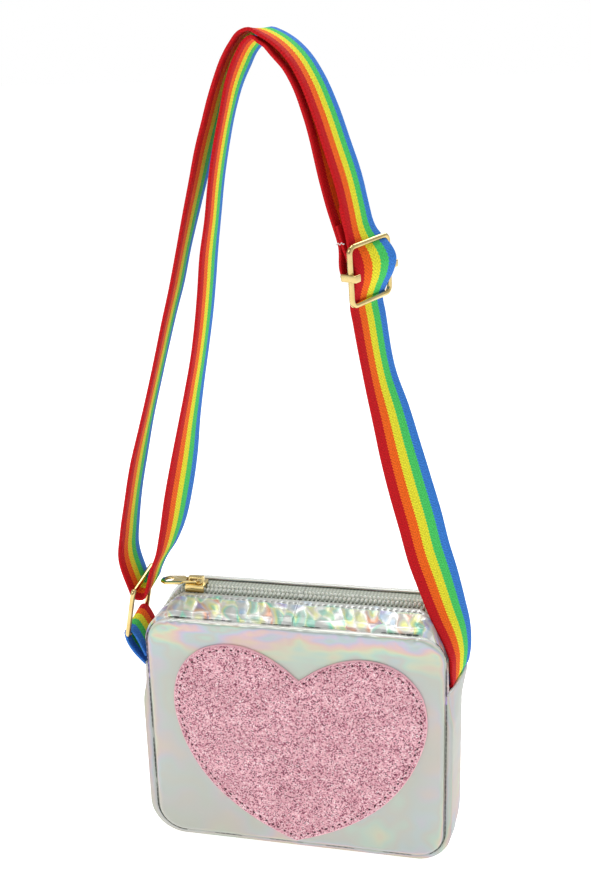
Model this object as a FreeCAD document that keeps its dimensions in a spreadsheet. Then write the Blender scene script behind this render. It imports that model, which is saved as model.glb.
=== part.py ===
import FreeCAD, Part
import math
import os
import re
import Sketcher

# A small crossbody purse: two padded panels, a gusset between them with a zip along its top,
# a heart sewn on the front, and a webbing strap with a ring and an adjuster.
# +X is to the wearer's right of the heart, -Y is the front, +Z is up.
# The origin is on the floor under the middle of the bag.

Vector = FreeCAD.Vector

# Driving sizes, in millimetres and degrees
SIZES = {
    "panel_width": 152.0,
    "panel_height": 125.0,
    "panel_corner": 15.0,
    "panel_wall": 1.8,
    "bag_depth": 50.0,
    "gusset_proud": 3.0,
    "gusset_crown": 2.0,
    "gusset_wall": 1.6,
    "allowance_width": 6.0,
    "allowance_wall": 1.2,
    "joint_height": 94.0,
    "foam_wall": 1.5,
    "lining_wall": 0.5,
    "board_wall": 1.5,
    "board_corner": 5.0,
    "fit_gap": 0.3,
    "roof_rise": 6.5,
    "side_rise": 3.4,
    "strip_wall": 1.6,
    "strip_front_edge": 5.2,
    "strip_back_edge": 12.0,
    "tape_wall": 0.6,
    "tape_lap": 6.0,
    "chain_slot": 1.2,
    "coil_width": 2.6,
    "coil_height": 2.4,
    "mouth_end": 11.0,
    "mouth_gap": 0.4,
    "stop_length": 2.4,
    "stop_height": 2.6,
    "slider_length": 10.0,
    "slider_plate": 1.4,
    "slider_flange": 1.1,
    "slider_web": 0.6,
    "slider_gap": 0.35,
    "bridge_length": 8.0,
    "bridge_width": 2.8,
    "bridge_wall": 1.2,
    "pull_length": 19.0,
    "pull_width": 8.8,
    "pull_wall": 1.2,
    "pull_arm": 1.2,
    "pull_pin": 1.5,
    "pull_eye": 5.0,
    "pull_taper": 3.0,
    "pull_tip": 3.6,
    "pull_droop": 4.0,
    "heart_width": 129.4,
    "heart_height": 109.0,
    "heart_wall": 1.6,
    "heart_lift": 2.8,
    "heart_aside": -0.6,
    "heart_tilt": 2.3,
    "webbing_width": 25.0,
    "webbing_wall": 1.5,
    "webbing_room": 0.4,
    "foot_out": 7.0,
    "root_twist": 6.0,
    "tongue_bend": 2.0,
    "tab_heel_lift": 4.5,
    "ring_wire": 2.6,
    "ring_height": 27.7,
    "ring_corner": 2.0,
    "ring_out": 13.5,
    "ring_lift": 18.0,
    "ring_lean": 13.0,
    "ring_play": 2.6,
    "adjuster_wire": 2.6,
    "adjuster_height": 27.0,
    "adjuster_corner": 3.0,
    "adjuster_sleeve": 5.2,
    "adjuster_sleeve_wall": 0.5,
    "adjuster_proud": 2.7,
    "adjuster_pitch": 9.0,
    "adjuster_drop": 39.0,
    "adjuster_travel": 12.0,
    "end_loop_length": 22.0,
    "strap_height": 278.0,
    "run_twist": 26.0,
}

doc = FreeCAD.newDocument("purse")
sheet = doc.addObject("Spreadsheet::Sheet", "Sizes")
for row, (name, value) in enumerate(SIZES.items(), start=1):
    sheet.set(f"A{row}", name)
    sheet.set(f"B{row}", str(value))
    sheet.setAlias(f"B{row}", name)
doc.recompute()


def cells(text):
    """An expression whose size names point at the sheet's cells."""
    return re.sub(r"[a-z_]+", lambda word: "Sizes." + word[0] if word[0] in SIZES else word[0], text)


def value_of(text):
    return float(sheet.evalExpression(cells(text)))


# Lengths that several pieces share, written in terms of the driving sizes
INNER_HALF = "(bag_depth / 2 - panel_wall)"
SEAM_BOTTOM = "gusset_proud"
SEAM_TOP = "(gusset_proud + panel_height)"
TAPE_TOP = "(RISE - strip_wall)"
COIL_OUT = "(chain_slot / 2 + coil_width)"
FRONT_SLOPE = f"({TAPE_TOP} / ({INNER_HALF} - strip_front_edge))"
BACK_SLOPE = f"({TAPE_TOP} / ({INNER_HALF} - strip_back_edge))"
SLIDER_HALF = f"({COIL_OUT} + slider_gap + slider_flange)"
CHAIN_TOP = "(roof_rise - strip_wall + coil_height)"
PLATE_TOP = f"({CHAIN_TOP} + slider_gap + slider_plate)"
PIN_RISE = f"({PLATE_TOP} + fit_gap + pull_pin / 2)"
MOUTH_HALF = "(panel_width / 2 - panel_corner - mouth_end)"
SLIDER_REST = f"({MOUTH_HALF} + mouth_gap + slider_length / 2)"
TONGUE_GAP = "(webbing_wall / 2 + fit_gap / 2)"


# Sketches and features

def new_body(label):
    body = doc.addObject("PartDesign::Body", label)
    body.Label = label
    return body


def new_sketch(body, role, offset="0"):
    """A sketch on one of the body's own planes, moved along the plane's normal."""
    sketch = body.newObject("Sketcher::SketchObject", "outline")
    support = next(item for item in body.Origin.OriginFeatures if item.Role == role)
    sketch.AttachmentSupport = (support, [""])
    sketch.MapMode = "FlatFace"
    sketch.setExpression("AttachmentOffset.Base.z", cells(offset))
    return sketch


def bind(sketch, kind, *where, size):
    index = sketch.addConstraint(Sketcher.Constraint(kind, *where, value_of(size)))
    sketch.setExpression(f"Constraints[{index}]", cells(size))


def draw_polygon(sketch, points):
    """Straight edges through points whose coordinates are expressions."""
    corners = [Vector(value_of(across), value_of(up), 0) for across, up in points]
    count = len(corners)
    for index in range(count):
        sketch.addGeometry(Part.LineSegment(corners[index], corners[(index + 1) % count]))
    for index in range(count):
        sketch.addConstraint(Sketcher.Constraint("Coincident", index, 2, (index + 1) % count, 1))
    for index, (across, up) in enumerate(points):
        bind(sketch, "DistanceX", -1, 1, index, 1, size=across)
        bind(sketch, "DistanceY", -1, 1, index, 1, size=up)


def draw_rounded(sketch, left, right, bottom, top, corner):
    """A rectangle with round corners; every argument is an expression."""
    x0, x1, z0, z1, r = (value_of(item) for item in (left, right, bottom, top, corner))
    ends = [
        (Vector(x0 + r, z0, 0), Vector(x1 - r, z0, 0)),
        (Vector(x1, z0 + r, 0), Vector(x1, z1 - r, 0)),
        (Vector(x1 - r, z1, 0), Vector(x0 + r, z1, 0)),
        (Vector(x0, z1 - r, 0), Vector(x0, z0 + r, 0)),
    ]
    centres = [(x1 - r, z0 + r), (x1 - r, z1 - r), (x0 + r, z1 - r), (x0 + r, z0 + r)]
    normal = Vector(0, 0, 1)
    for index in range(4):
        sketch.addGeometry(Part.LineSegment(*ends[index]))
        circle = Part.Circle(Vector(*centres[index], 0), normal, r)
        start = (index - 1) * math.pi / 2
        sketch.addGeometry(Part.ArcOfCircle(circle, start, start + math.pi / 2))
    for index in range(4):
        line, arc, following = 2 * index, 2 * index + 1, (2 * index + 2) % 8
        sketch.addConstraint(Sketcher.Constraint("Tangent", line, 2, arc, 1))
        sketch.addConstraint(Sketcher.Constraint("Tangent", arc, 2, following, 1))
    for line, kind in ((0, "Horizontal"), (4, "Horizontal"), (2, "Vertical"), (6, "Vertical")):
        sketch.addConstraint(Sketcher.Constraint(kind, line))
    for arc in (3, 5, 7):
        sketch.addConstraint(Sketcher.Constraint("Equal", 1, arc))
    bind(sketch, "Radius", 1, size=corner)
    bind(sketch, "DistanceY", -1, 1, 0, 1, size=bottom)
    bind(sketch, "DistanceY", -1, 1, 4, 1, size=top)
    bind(sketch, "DistanceX", -1, 1, 2, 1, size=right)
    bind(sketch, "DistanceX", -1, 1, 6, 1, size=left)


def draw_circle(sketch, across, up, diameter):
    centre = Vector(value_of(across), value_of(up), 0)
    sketch.addGeometry(Part.Circle(centre, Vector(0, 0, 1), value_of(diameter) / 2))
    bind(sketch, "DistanceX", -1, 1, 0, 3, size=across)
    bind(sketch, "DistanceY", -1, 1, 0, 3, size=up)
    bind(sketch, "Diameter", 0, size=diameter)


def extrude(body, sketch, length, symmetric=False, kind="Pad"):
    feature = body.newObject("PartDesign::" + kind, kind.lower())
    feature.Profile = sketch
    feature.SideType = "Symmetric" if symmetric else "One side"
    feature.setExpression("Length", cells(length))
    doc.recompute()
    return feature


def move(thing, **places):
    for axis, place in places.items():
        thing.setExpression("Placement.Base." + axis, cells(place))


# Panels and the flat layers behind them

def flat_layer(label, face, wall, inset):
    """A rounded sheet whose front face lies at the depth that face gives, wall thick towards +Y."""
    body = new_body(label)
    sketch = new_sketch(body, "XZ_Plane", f"-({face} + {wall})")
    half = f"panel_width / 2 - ({inset})"
    top = f"{SEAM_TOP} - ({inset})"
    bottom, corner = f"{SEAM_BOTTOM} + ({inset})", f"panel_corner - ({inset})"
    draw_rounded(sketch, f"-({half})", half, bottom, top, corner)
    extrude(body, sketch, wall)


def layers():
    foam_inset = "allowance_width + fit_gap"
    lining_depth = f"{INNER_HALF} - foam_wall"
    flat_layer("front_panel", "-bag_depth / 2", "panel_wall", "0")
    flat_layer("back_panel", INNER_HALF, "panel_wall", "0")
    flat_layer("front_foam", f"-{INNER_HALF}", "foam_wall", foam_inset)
    flat_layer("back_foam", f"{INNER_HALF} - foam_wall", "foam_wall", foam_inset)
    flat_layer("lining_front", f"-({lining_depth})", "lining_wall", "fit_gap")
    flat_layer("lining_back", f"{lining_depth} - lining_wall", "lining_wall", "fit_gap")


def base_board():
    body = new_body("base_board")
    sketch = new_sketch(body, "XY_Plane", "gusset_wall")
    half_length = "panel_width / 2 - panel_corner"
    half_depth = f"{INNER_HALF} - allowance_wall - fit_gap"
    draw_rounded(sketch, f"-({half_length})", half_length, f"-({half_depth})", half_depth, "board_corner")
    extrude(body, sketch, "board_wall")


# Half of the heart's outline from the notch to the tip, as shares of its half width and its height
HEART_HALF = [
    (0.0, 0.859), (0.135, 0.922), (0.306, 0.976), (0.560, 1.0), (0.790, 0.958), (0.940, 0.862),
    (1.0, 0.725), (0.935, 0.503), (0.714, 0.277), (0.380, 0.110), (0.115, 0.027), (0.0, 0.0),
]


def heart_applique():
    half_width = value_of("heart_width / 2")
    tip = Vector(value_of("heart_aside"), value_of("-bag_depth / 2"), value_of(f"{SEAM_BOTTOM} + heart_lift"))
    edges = []
    for side in (1, -1):
        points = [
            Vector(side * half_width * across, 0, value_of("heart_height") * up)
            for across, up in HEART_HALF
        ]
        curve = Part.BSplineCurve()
        curve.interpolate(points)
        edges.append(curve.toShape())
    outline = Part.Wire(Part.__sortEdges__(edges))
    heart = doc.addObject("Part::Feature", "heart_applique")
    heart.Shape = Part.Face(outline).extrude(Vector(0, -value_of("heart_wall"), 0))
    heart.Placement = FreeCAD.Placement(tip, FreeCAD.Rotation(Vector(0, 1, 0), value_of("heart_tilt")))


# The gusset: a strip whose section is carried along the panels' seam line

ARC_STEPS = 6


def ruled_solid(sections):
    wires = [Part.makePolygon(points + points[:1]) for points in sections]
    return Part.makeLoft(wires, True, True)


def add_solids(label, solids):
    feature = doc.addObject("Part::Feature", label)
    feature.Shape = solids[0] if len(solids) == 1 else Part.makeCompound(solids)
    return feature


def corner_stations(side, top):
    """Places round one corner of the seam line: x, z, outward x, outward z and the share passed."""
    radius = value_of("panel_corner")
    centre_x = side * (value_of("panel_width / 2") - radius)
    centre_z = value_of(SEAM_TOP) - radius if top else value_of(SEAM_BOTTOM) + radius
    stations = []
    for step in range(ARC_STEPS + 1):
        angle = math.radians(90 * step / ARC_STEPS)
        out_x = side * math.sin(angle)
        out_z = math.cos(angle) if top else -math.cos(angle)
        x, z = centre_x + radius * out_x, centre_z + radius * out_z
        stations.append((x, z, out_x, out_z, step / ARC_STEPS))
    return stations


def carried(profile, stations):
    """Sections of a profile at stations; the profile gives points for a rise."""
    return [
        [Vector(x + out * out_x, y, z + out * out_z) for y, out in profile(rise)]
        for x, z, out_x, out_z, rise in stations
    ]


def side_end(side, height, rise):
    return (side * value_of("panel_width / 2"), height, side, 0.0, rise)


def lower_run(rise, top):
    """Stations from the left side down, along the bottom and up the right side."""
    half = []
    for x, z, out_x, out_z, share in corner_stations(1, False):
        half.append((x, z, out_x, out_z, rise * share))
    half.append(side_end(1, top, rise))
    mirrored = [(-x, z, -out_x, out_z, own) for x, z, out_x, out_z, own in reversed(half)]
    return mirrored + half


def lower_gusset():
    half = value_of(INNER_HALF)
    lip = half - value_of("allowance_wall")
    proud = value_of("gusset_proud")
    inside = proud - value_of("gusset_wall")
    edge = -value_of("allowance_width")

    def profile(crown):
        outer = [(-half, proud), (0, proud + crown), (half, proud), (half, edge), (lip, edge), (lip, inside)]
        return outer + [(0, inside + crown), (-lip, inside), (-lip, edge), (-half, edge)]

    top = value_of(f"joint_height - {TONGUE_GAP}")
    solid = ruled_solid(carried(profile, lower_run(value_of("gusset_crown"), top)))
    add_solids("lower_gusset", [solid])


def lining_gusset():
    half = value_of(f"{INNER_HALF} - foam_wall - lining_wall")
    outer = -value_of("fit_gap")
    inner = outer - value_of("lining_wall")

    def profile(crown):
        return [(-half, outer), (half, outer), (half, inner), (-half, inner)]

    top = value_of(f"{SEAM_TOP} - panel_corner")
    add_solids("lining_gusset", [ruled_solid(carried(profile, lower_run(0.0, top)))])


# The zip: sections across the chain, as expressions of the height and of RISE, the crown there

def layer_under(edge, slope, side):
    """The tape's section: flat beside the coil, then sloping under the strip that covers it."""
    lap = f"({TAPE_TOP} - {slope} * tape_lap)"
    inner, outer = f"{side} * chain_slot / 2", f"{side} * ({edge} + tape_lap)"
    top = [(inner, TAPE_TOP), (f"{side} * {edge}", TAPE_TOP), (outer, lap)]
    return top + [(y, f"{z} - tape_wall") for y, z in reversed(top)]


def strip_section(edge, side):
    near, far = f"{side} * {edge}", f"{side} * {INNER_HALF}"
    return [(far, "0"), (far, "strip_wall"), (near, "RISE"), (near, TAPE_TOP)]


def coil_section(side):
    near, far = f"{side} * chain_slot / 2", f"{side} * {COIL_OUT}"
    top = f"{TAPE_TOP} + coil_height"
    return [(near, TAPE_TOP), (far, TAPE_TOP), (far, top), (near, top)]


ZIP_SECTIONS = {
    "strip": {"front": strip_section("strip_front_edge", -1), "back": strip_section("strip_back_edge", 1)},
    "tape": {
        "front": layer_under("strip_front_edge", FRONT_SLOPE, -1),
        "back": layer_under("strip_back_edge", BACK_SLOPE, 1),
    },
    "coil": {"front": coil_section(-1), "back": coil_section(1)},
}


def zip_runs():
    """The straight run over the mouth, in two halves that part, and the fixed runs past its ends."""
    for kind, halves in ZIP_SECTIONS.items():
        ends = []
        for half, section in halves.items():
            body = new_body(f"zip_{kind}_{half}")
            sketch = new_sketch(body, "YZ_Plane")
            points = [(y, f"{SEAM_TOP} + " + z.replace("RISE", "roof_rise")) for y, z in section]
            draw_polygon(sketch, points)
            extrude(body, sketch, f"2 * {MOUTH_HALF}", symmetric=True)
            ends.extend(zip_end(section, side, kind == "coil") for side in (-1, 1))
        add_solids(f"zip_{kind}_ends", ends)


def zip_end(section, side, stopped):
    def profile(rise):
        return [(value_of(y), value_of(z.replace("RISE", str(rise)))) for y, z in section]

    high, low = value_of("roof_rise"), value_of("side_rise")
    start = side * value_of(f"{MOUTH_HALF} + mouth_gap")
    foot = value_of(f"joint_height + {TONGUE_GAP}")
    if stopped:
        foot += value_of("stop_length")
    stations = [(start, value_of(SEAM_TOP), 0.0, 1.0, high)]
    for x, z, out_x, out_z, share in corner_stations(side, True):
        stations.append((x, z, out_x, out_z, high + (low - high) * share))
    stations.append(side_end(side, foot, low))
    return ruled_solid(carried(profile, stations))


def zip_stops():
    """A clamped stop under each end of the chain."""
    boxes = []
    base = "panel_width / 2 + side_rise - strip_wall"
    for name, start in (("left_stop", f"-({base}) - stop_height"), ("right_stop", base)):
        box = doc.addObject("Part::Box", name)
        box.setExpression("Length", cells("stop_height"))
        box.setExpression("Width", cells(f"2 * {COIL_OUT}"))
        box.setExpression("Height", cells("stop_length"))
        move(box, x=start, y=f"-{COIL_OUT}", z=f"joint_height + {TONGUE_GAP}")
        boxes.append(box)
    stops = doc.addObject("Part::MultiFuse", "zip_stops")
    stops.Shapes = boxes


def zip_slider():
    """Two plates joined by a thin web that runs in the slot of the chain, with a bridge on top."""
    body = new_body("zip_slider")
    tape_top = "(roof_rise - strip_wall)"
    flange_foot = f"{tape_top} + slider_gap"
    roof = f"{CHAIN_TOP} + slider_gap"
    floor = f"{tape_top} - tape_wall - slider_gap"
    inner = f"{SLIDER_HALF} - slider_flange"
    half = [
        ("slider_web / 2", floor), (SLIDER_HALF, floor), (SLIDER_HALF, f"{floor} - slider_plate"),
    ]
    upper = [
        (SLIDER_HALF, PLATE_TOP), (SLIDER_HALF, flange_foot), (inner, flange_foot), (inner, roof),
        ("slider_web / 2", roof),
    ]
    right = upper + half
    left = [(f"-({y})", z) for y, z in reversed(right)]
    section = new_sketch(body, "YZ_Plane")
    draw_polygon(section, right + left)
    extrude(body, section, "slider_length", symmetric=True)
    arch = new_sketch(body, "XZ_Plane")
    long_half, window_half = "bridge_length / 2", "(bridge_length / 2 - bridge_wall)"
    window_top = f"({PIN_RISE} + pull_pin / 2 + fit_gap)"
    side = [(long_half, PLATE_TOP), (long_half, f"{window_top} + bridge_wall")]
    inside = [(window_half, window_top), (window_half, PLATE_TOP)]
    outer = [(f"-{x}", z) for x, z in side] + list(reversed(side))
    draw_polygon(arch, outer + list(reversed(inside)) + [(f"-{x}", z) for x, z in inside])
    extrude(body, arch, "bridge_width", symmetric=True)
    move(body, x=f"-{SLIDER_REST}", z=SEAM_TOP)


def zip_pull():
    """A tab with two arms and a pin through the slider's bridge, and an eye at its free end."""
    body = new_body("zip_pull")
    inner = "(bridge_width / 2 + fit_gap)"
    outer = f"({inner} + pull_arm)"
    shoulder = "-(bridge_length / 2 + bridge_wall)"
    neck = f"{shoulder} - pull_arm"
    right = [
        ("pull_pin / 2", outer), (neck, outer), (f"{neck} - pull_arm", "pull_width / 2"),
        ("-pull_length + pull_taper", "pull_width / 2"), ("-pull_length", "pull_tip / 2"),
    ]
    left = [(x, f"-{y}") for x, y in reversed(right)]
    fork_left = [("pull_pin / 2", f"-{inner}"), (shoulder, f"-{inner}")]
    fork_right = [(shoulder, inner), ("pull_pin / 2", inner)]
    sketch = new_sketch(body, "XY_Plane")
    draw_polygon(sketch, right + left + fork_left + fork_right)
    extrude(body, sketch, "pull_wall", symmetric=True)
    pin = new_sketch(body, "XZ_Plane")
    draw_circle(pin, "0", "0", "pull_pin")
    extrude(body, pin, f"2 * {outer}", symmetric=True)
    eye = new_sketch(body, "XY_Plane")
    draw_circle(eye, "-pull_length + pull_width / 2", "0", "pull_eye")
    extrude(body, eye, "2 * pull_wall", symmetric=True, kind="Pocket")
    droop = FreeCAD.Rotation(Vector(0, 1, 0), -value_of("pull_droop"))
    body.Placement = FreeCAD.Placement(Vector(), droop)
    move(body, x=f"-{SLIDER_REST}", z=f"{SEAM_TOP} + {PIN_RISE}")


# Wire hardware

def wire_loop(label, half_width, height, wire, corner, offset="0"):
    """A closed wire in a body's YZ plane, standing on its lower bar at the origin."""
    body = new_body(label)
    path = new_sketch(body, "YZ_Plane", offset)
    draw_rounded(path, f"-({half_width})", half_width, "0", height, corner)
    section = new_sketch(body, "XZ_Plane", f"{half_width} - {corner}")
    draw_circle(section, offset, "0", wire)
    pipe = body.newObject("PartDesign::AdditivePipe", "pipe")
    pipe.Profile = section
    pipe.Spine = (path, [f"Edge{index}" for index in range(1, 9)])
    doc.recompute()
    return body


RING_HALF = "(webbing_width / 2 + webbing_room + ring_wire / 2)"


def ring_place(along):
    """A point of the ring's plane, along its height from the lower bar."""
    lean = math.radians(value_of("ring_lean"))
    foot = Vector(-value_of("panel_width / 2 + ring_out"), 0, value_of("joint_height + ring_lift"))
    return foot + Vector(math.sin(lean), 0, math.cos(lean)) * along


def strap_ring():
    body = wire_loop("strap_ring", RING_HALF, "ring_height", "ring_wire", "ring_corner")
    lean = FreeCAD.Rotation(Vector(0, 1, 0), value_of("ring_lean"))
    body.Placement = FreeCAD.Placement(ring_place(0), lean)


# The webbing: a flat strip whose section is carried through stations of x, y, z and twist.
# The twist turns the strip's width from +Y towards +X.

def webbing(stations, before=None, after=None):
    """The strip through stations; before and after are stations of a strip that goes on past an end."""
    half_width, half_wall = value_of("webbing_width / 2"), value_of("webbing_wall / 2")
    line = [before or stations[0], *stations, after or stations[-1]]
    points = [Vector(*station[:3]) for station in line]
    sections = []
    for index in range(1, len(line) - 1):
        steps = (points[index] - points[index - 1], points[index + 1] - points[index])
        along = Vector()
        for step in steps:
            if step.Length > 0:
                along += step / step.Length
        along.normalize()
        flat = Vector(0, 1, 0).cross(along)
        turn = math.radians(line[index][3])
        lean = 1 if flat.x > 0 else -1
        width = Vector(0, math.cos(turn), 0) + flat * (lean * math.sin(turn))
        across, through = width * half_width, width.cross(along) * half_wall
        corners = [-across - through, across - through, across + through, -across + through]
        sections.append([points[index] + corner for corner in corners])
    return ruled_solid(sections)


def strap_run(share, offset=0.0):
    """A point on the straight stretch that the adjuster runs on, moved square to the webbing."""
    low, high, outward = run_frame()
    point = low + (high - low) * share + outward * offset
    return (point.x, point.y, point.z, value_of("run_twist"))


def run_frame():
    low, high = (Vector(*station[:3]) for station in route(RUN_ENDS, 1))
    along = (high - low).normalize()
    square = Vector(along.z, 0, -along.x)
    turn = math.radians(value_of("run_twist"))
    outward = square * math.cos(turn) - Vector(0, math.sin(turn), 0)
    return low, high, outward


def adjuster_place():
    """The adjuster's frame: X out of the webbing, Y along its width, Z up along it."""
    low, high, outward = run_frame()
    along = (high - low).normalize()
    centre = high - along * (value_of("adjuster_drop") / along.z)
    across = along.cross(outward)
    return FreeCAD.Placement(centre, FreeCAD.Rotation(outward, across, along, "XYZ"))


FRAME_OUT = "(webbing_wall / 2 + fit_gap + adjuster_wire / 2 + adjuster_proud)"
LEG_OUT = "(adjuster_wire / 2 + fit_gap / 2 + webbing_wall / 2)"
BAR_IN = f"(webbing_wall + fit_gap + {LEG_OUT})"
SLEEVE = "(adjuster_wire + 2 * fit_gap + 2 * adjuster_sleeve_wall)"
RAIL_HALF = f"(webbing_width / 2 + webbing_room + {SLEEVE} / 2)"


def adjuster_pitched():
    """The adjuster turned about its bar, so that the frame's upper end stands further out."""
    pitch = FreeCAD.Rotation(Vector(0, 1, 0), value_of("adjuster_pitch"))
    return adjuster_place() * FreeCAD.Placement(Vector(), pitch, Vector(-value_of(BAR_IN), 0, 0))


def adjuster_frame():
    wire, corner = "adjuster_wire", "adjuster_corner"
    body = wire_loop("adjuster_frame", RAIL_HALF, "adjuster_height", wire, corner, FRAME_OUT)
    half = FreeCAD.Placement(Vector(0, 0, -value_of("adjuster_height / 2")), FreeCAD.Rotation())
    body.Placement = adjuster_pitched() * half


def rod(name, diameter, length, direction, x, y, z):
    cylinder = doc.addObject("Part::Cylinder", name)
    cylinder.setExpression("Radius", cells(f"{diameter} / 2"))
    cylinder.setExpression("Height", cells(length))
    cylinder.Placement = FreeCAD.Placement(Vector(), FreeCAD.Rotation(Vector(0, 0, 1), direction))
    move(cylinder, x=x, y=y, z=z)
    return cylinder


def adjuster_bar():
    """The bar behind the webbing, with arms round its edges and sleeves that slide on the rails."""
    across = Vector(0, 1, 0)
    solids = [rod("bar", "adjuster_wire", f"2 * {RAIL_HALF}", across, f"-{BAR_IN}", f"-{RAIL_HALF}", "0")]
    holes = []
    for name, y in (("near", f"-{RAIL_HALF}"), ("far", RAIL_HALF)):
        solids.append(rod(name + "_arm", "adjuster_wire", f"{BAR_IN} + {FRAME_OUT}", Vector(1, 0, 0),
                          f"-{BAR_IN}", y, "0"))
        ball = doc.addObject("Part::Sphere", name + "_bend")
        ball.setExpression("Radius", cells("adjuster_wire / 2"))
        move(ball, x=f"-{BAR_IN}", y=y)
        solids.append(ball)
        solids.append(rod(name + "_sleeve", SLEEVE, "adjuster_sleeve", Vector(0, 0, 1), FRAME_OUT, y,
                          "-adjuster_sleeve / 2"))
        holes.append(rod(name + "_hole", "(adjuster_wire + 2 * fit_gap)", "2 * adjuster_sleeve",
                         Vector(0, 0, 1), FRAME_OUT, y, "-adjuster_sleeve"))
    whole = doc.addObject("Part::MultiFuse", "bar_and_sleeves")
    whole.Shapes = solids
    rails = doc.addObject("Part::MultiFuse", "rail_holes")
    rails.Shapes = holes
    bar = doc.addObject("Part::Cut", "adjuster_bar")
    bar.Base = whole
    bar.Tool = rails
    bar.Placement = adjuster_pitched()


def strap_end_loop():
    """The webbing's end: two legs on either side of the inner strand, folded round the bar."""
    leg, length, bar = value_of(LEG_OUT), value_of("end_loop_length"), value_of(BAR_IN)
    half_width, half_wall = value_of("webbing_width / 2"), value_of("webbing_wall / 2")
    inner, outer = leg - half_wall, leg + half_wall
    arc_out = Part.Arc(Vector(outer - bar, 0, 0), Vector(-bar, 0, -outer), Vector(-outer - bar, 0, 0))
    arc_in = Part.Arc(Vector(-inner - bar, 0, 0), Vector(-bar, 0, -inner), Vector(inner - bar, 0, 0))
    lines = [
        Part.LineSegment(Vector(outer - bar, 0, length), Vector(outer - bar, 0, 0)), arc_out,
        Part.LineSegment(Vector(-outer - bar, 0, 0), Vector(-outer - bar, 0, length)),
        Part.LineSegment(Vector(-outer - bar, 0, length), Vector(-inner - bar, 0, length)),
        Part.LineSegment(Vector(-inner - bar, 0, length), Vector(-inner - bar, 0, 0)), arc_in,
        Part.LineSegment(Vector(inner - bar, 0, 0), Vector(inner - bar, 0, length)),
        Part.LineSegment(Vector(inner - bar, 0, length), Vector(outer - bar, 0, length)),
    ]
    outline = Part.Wire([line.toShape() for line in lines])
    outline.translate(Vector(0, -half_width, 0))
    loop = add_solids("strap_end_loop", [Part.Face(outline).extrude(Vector(0, 2 * half_width, 0))])
    loop.Placement = adjuster_place()


# The strap's route, chosen by hand: each point is a share of the way in from the side to the middle,
# a share of the strap's height above the bag, and the twist
RIGHT_ROOT = [
    (0.0024, -0.0288, 12.0), (0.0361, 0.0072, 22.0), (0.0822, 0.0401, 31.6),
]
RIGHT_RISE = [
    (0.0843, 0.0414, 32.0), (0.1422, 0.0755, 40.0), (0.2048, 0.1187, 46.0), (0.2747, 0.1799, 48.0),
    (0.3349, 0.2446, 46.0), (0.3928, 0.3094, 41.0), (0.4470, 0.3741, 34.0),
]
RUN_ENDS = [
    (0.501, 0.432, 26.0), (0.692, 0.763, 26.0),
]
OVER_TOP = [
    (0.743, 0.824, 22.0), (0.798, 0.878, 18.0), (0.861, 0.924, 15.0), (0.928, 0.957, 12.0),
    (1.000, 0.979, 10.0), (1.060, 0.991, 8.0), (1.112, 0.998, 7.0), (1.163, 1.000, 6.0),
]
OUTER_LEFT = [
    (0.789, 0.994, 5.0), (0.747, 0.980, 5.0), (0.701, 0.959, 5.0), (0.654, 0.930, 4.0),
    (0.614, 0.899, 4.0), (0.575, 0.863, 4.0), (0.533, 0.824, 4.0), (0.478, 0.766, 2.0),
    (0.422, 0.707, 0.0), (0.366, 0.646, -2.0), (0.313, 0.585, -2.0), (0.263, 0.536, -3.0),
    (0.201, 0.471, -4.0), (0.139, 0.406, -4.0), (0.073, 0.338, -3.0), (0.012, 0.270, 0.0),
    (-0.041, 0.200, 0.0), (-0.080, 0.137, 2.0), (-0.099, 0.086, 3.0), (-0.104, 0.054, 2.0),
]
INNER_LEFT = [
    (0.096, 0.068, 2.0), (0.145, 0.095, 6.0), (0.193, 0.135, 12.0), (0.249, 0.205, 16.0),
    (0.298, 0.273, 14.0), (0.342, 0.342, 8.0), (0.389, 0.409, 4.0), (0.435, 0.474, 2.0),
    (0.472, 0.537, 2.0), (0.495, 0.586, 2.0), (0.520, 0.647, 2.0), (0.554, 0.707, 0.0),
    (0.583, 0.766, 0.0), (0.622, 0.824, 0.0), (0.667, 0.878, 0.0), (0.713, 0.923, 3.0),
    (0.752, 0.949, 5.0), (0.788, 0.969, 5.0), (0.820, 0.981, 6.0), (0.851, 0.987, 6.0),
    (0.887, 0.987, 7.0), (0.933, 0.980, 8.0),
]
INNER_TOP = [
    (1.024, 0.967, 10.0), (0.959, 0.947, 12.0), (0.899, 0.919, 15.0), (0.839, 0.875, 18.0),
    (0.788, 0.822, 22.0),
]
RUN_EASE = 0.05


def route(points, side):
    foot = value_of("panel_width / 2 + foot_out")
    top, height = value_of(SEAM_TOP), value_of("strap_height")
    return [(side * foot * (1 - inward), 0.0, top + height * up, twist) for inward, up, twist in points]


def round_bar(centre, radius, angles):
    """Stations round a bar along Y, at angles measured from +X towards +Z."""
    turned = [(math.cos(math.radians(angle)), math.sin(math.radians(angle))) for angle in angles]
    return [(centre.x + radius * x, 0.0, centre.z + radius * z, 0.0) for x, z in turned]


def ring_bend():
    """The wide bend under the ring's upper bar, from the outer strand to the inner one."""
    bar = ring_place(value_of("ring_height"))
    room = value_of("ring_wire / 2 + fit_gap + webbing_wall / 2")
    play = value_of("ring_play")
    left = round_bar(bar - Vector(play, 0, 0), room, (180, 210, 240, 270))
    right = round_bar(bar + Vector(play, 0, 0), room, (270, 300, 330))
    return left + right


def tongue(side):
    """The webbing's end, sewn flat between the gusset's strips and bent up beside the bag."""
    bend = value_of("tongue_bend")
    out = value_of("panel_width / 2 + foot_out - tongue_bend")
    centre = Vector(side * out, 0, value_of("joint_height") + bend)
    sewn = (side * value_of("panel_width / 2 - fit_gap"), 0.0, value_of("joint_height"), 0.0)
    return [sewn] + round_bar(centre, bend, [270 + side * turn for turn in (0, 30, 60)])


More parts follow.
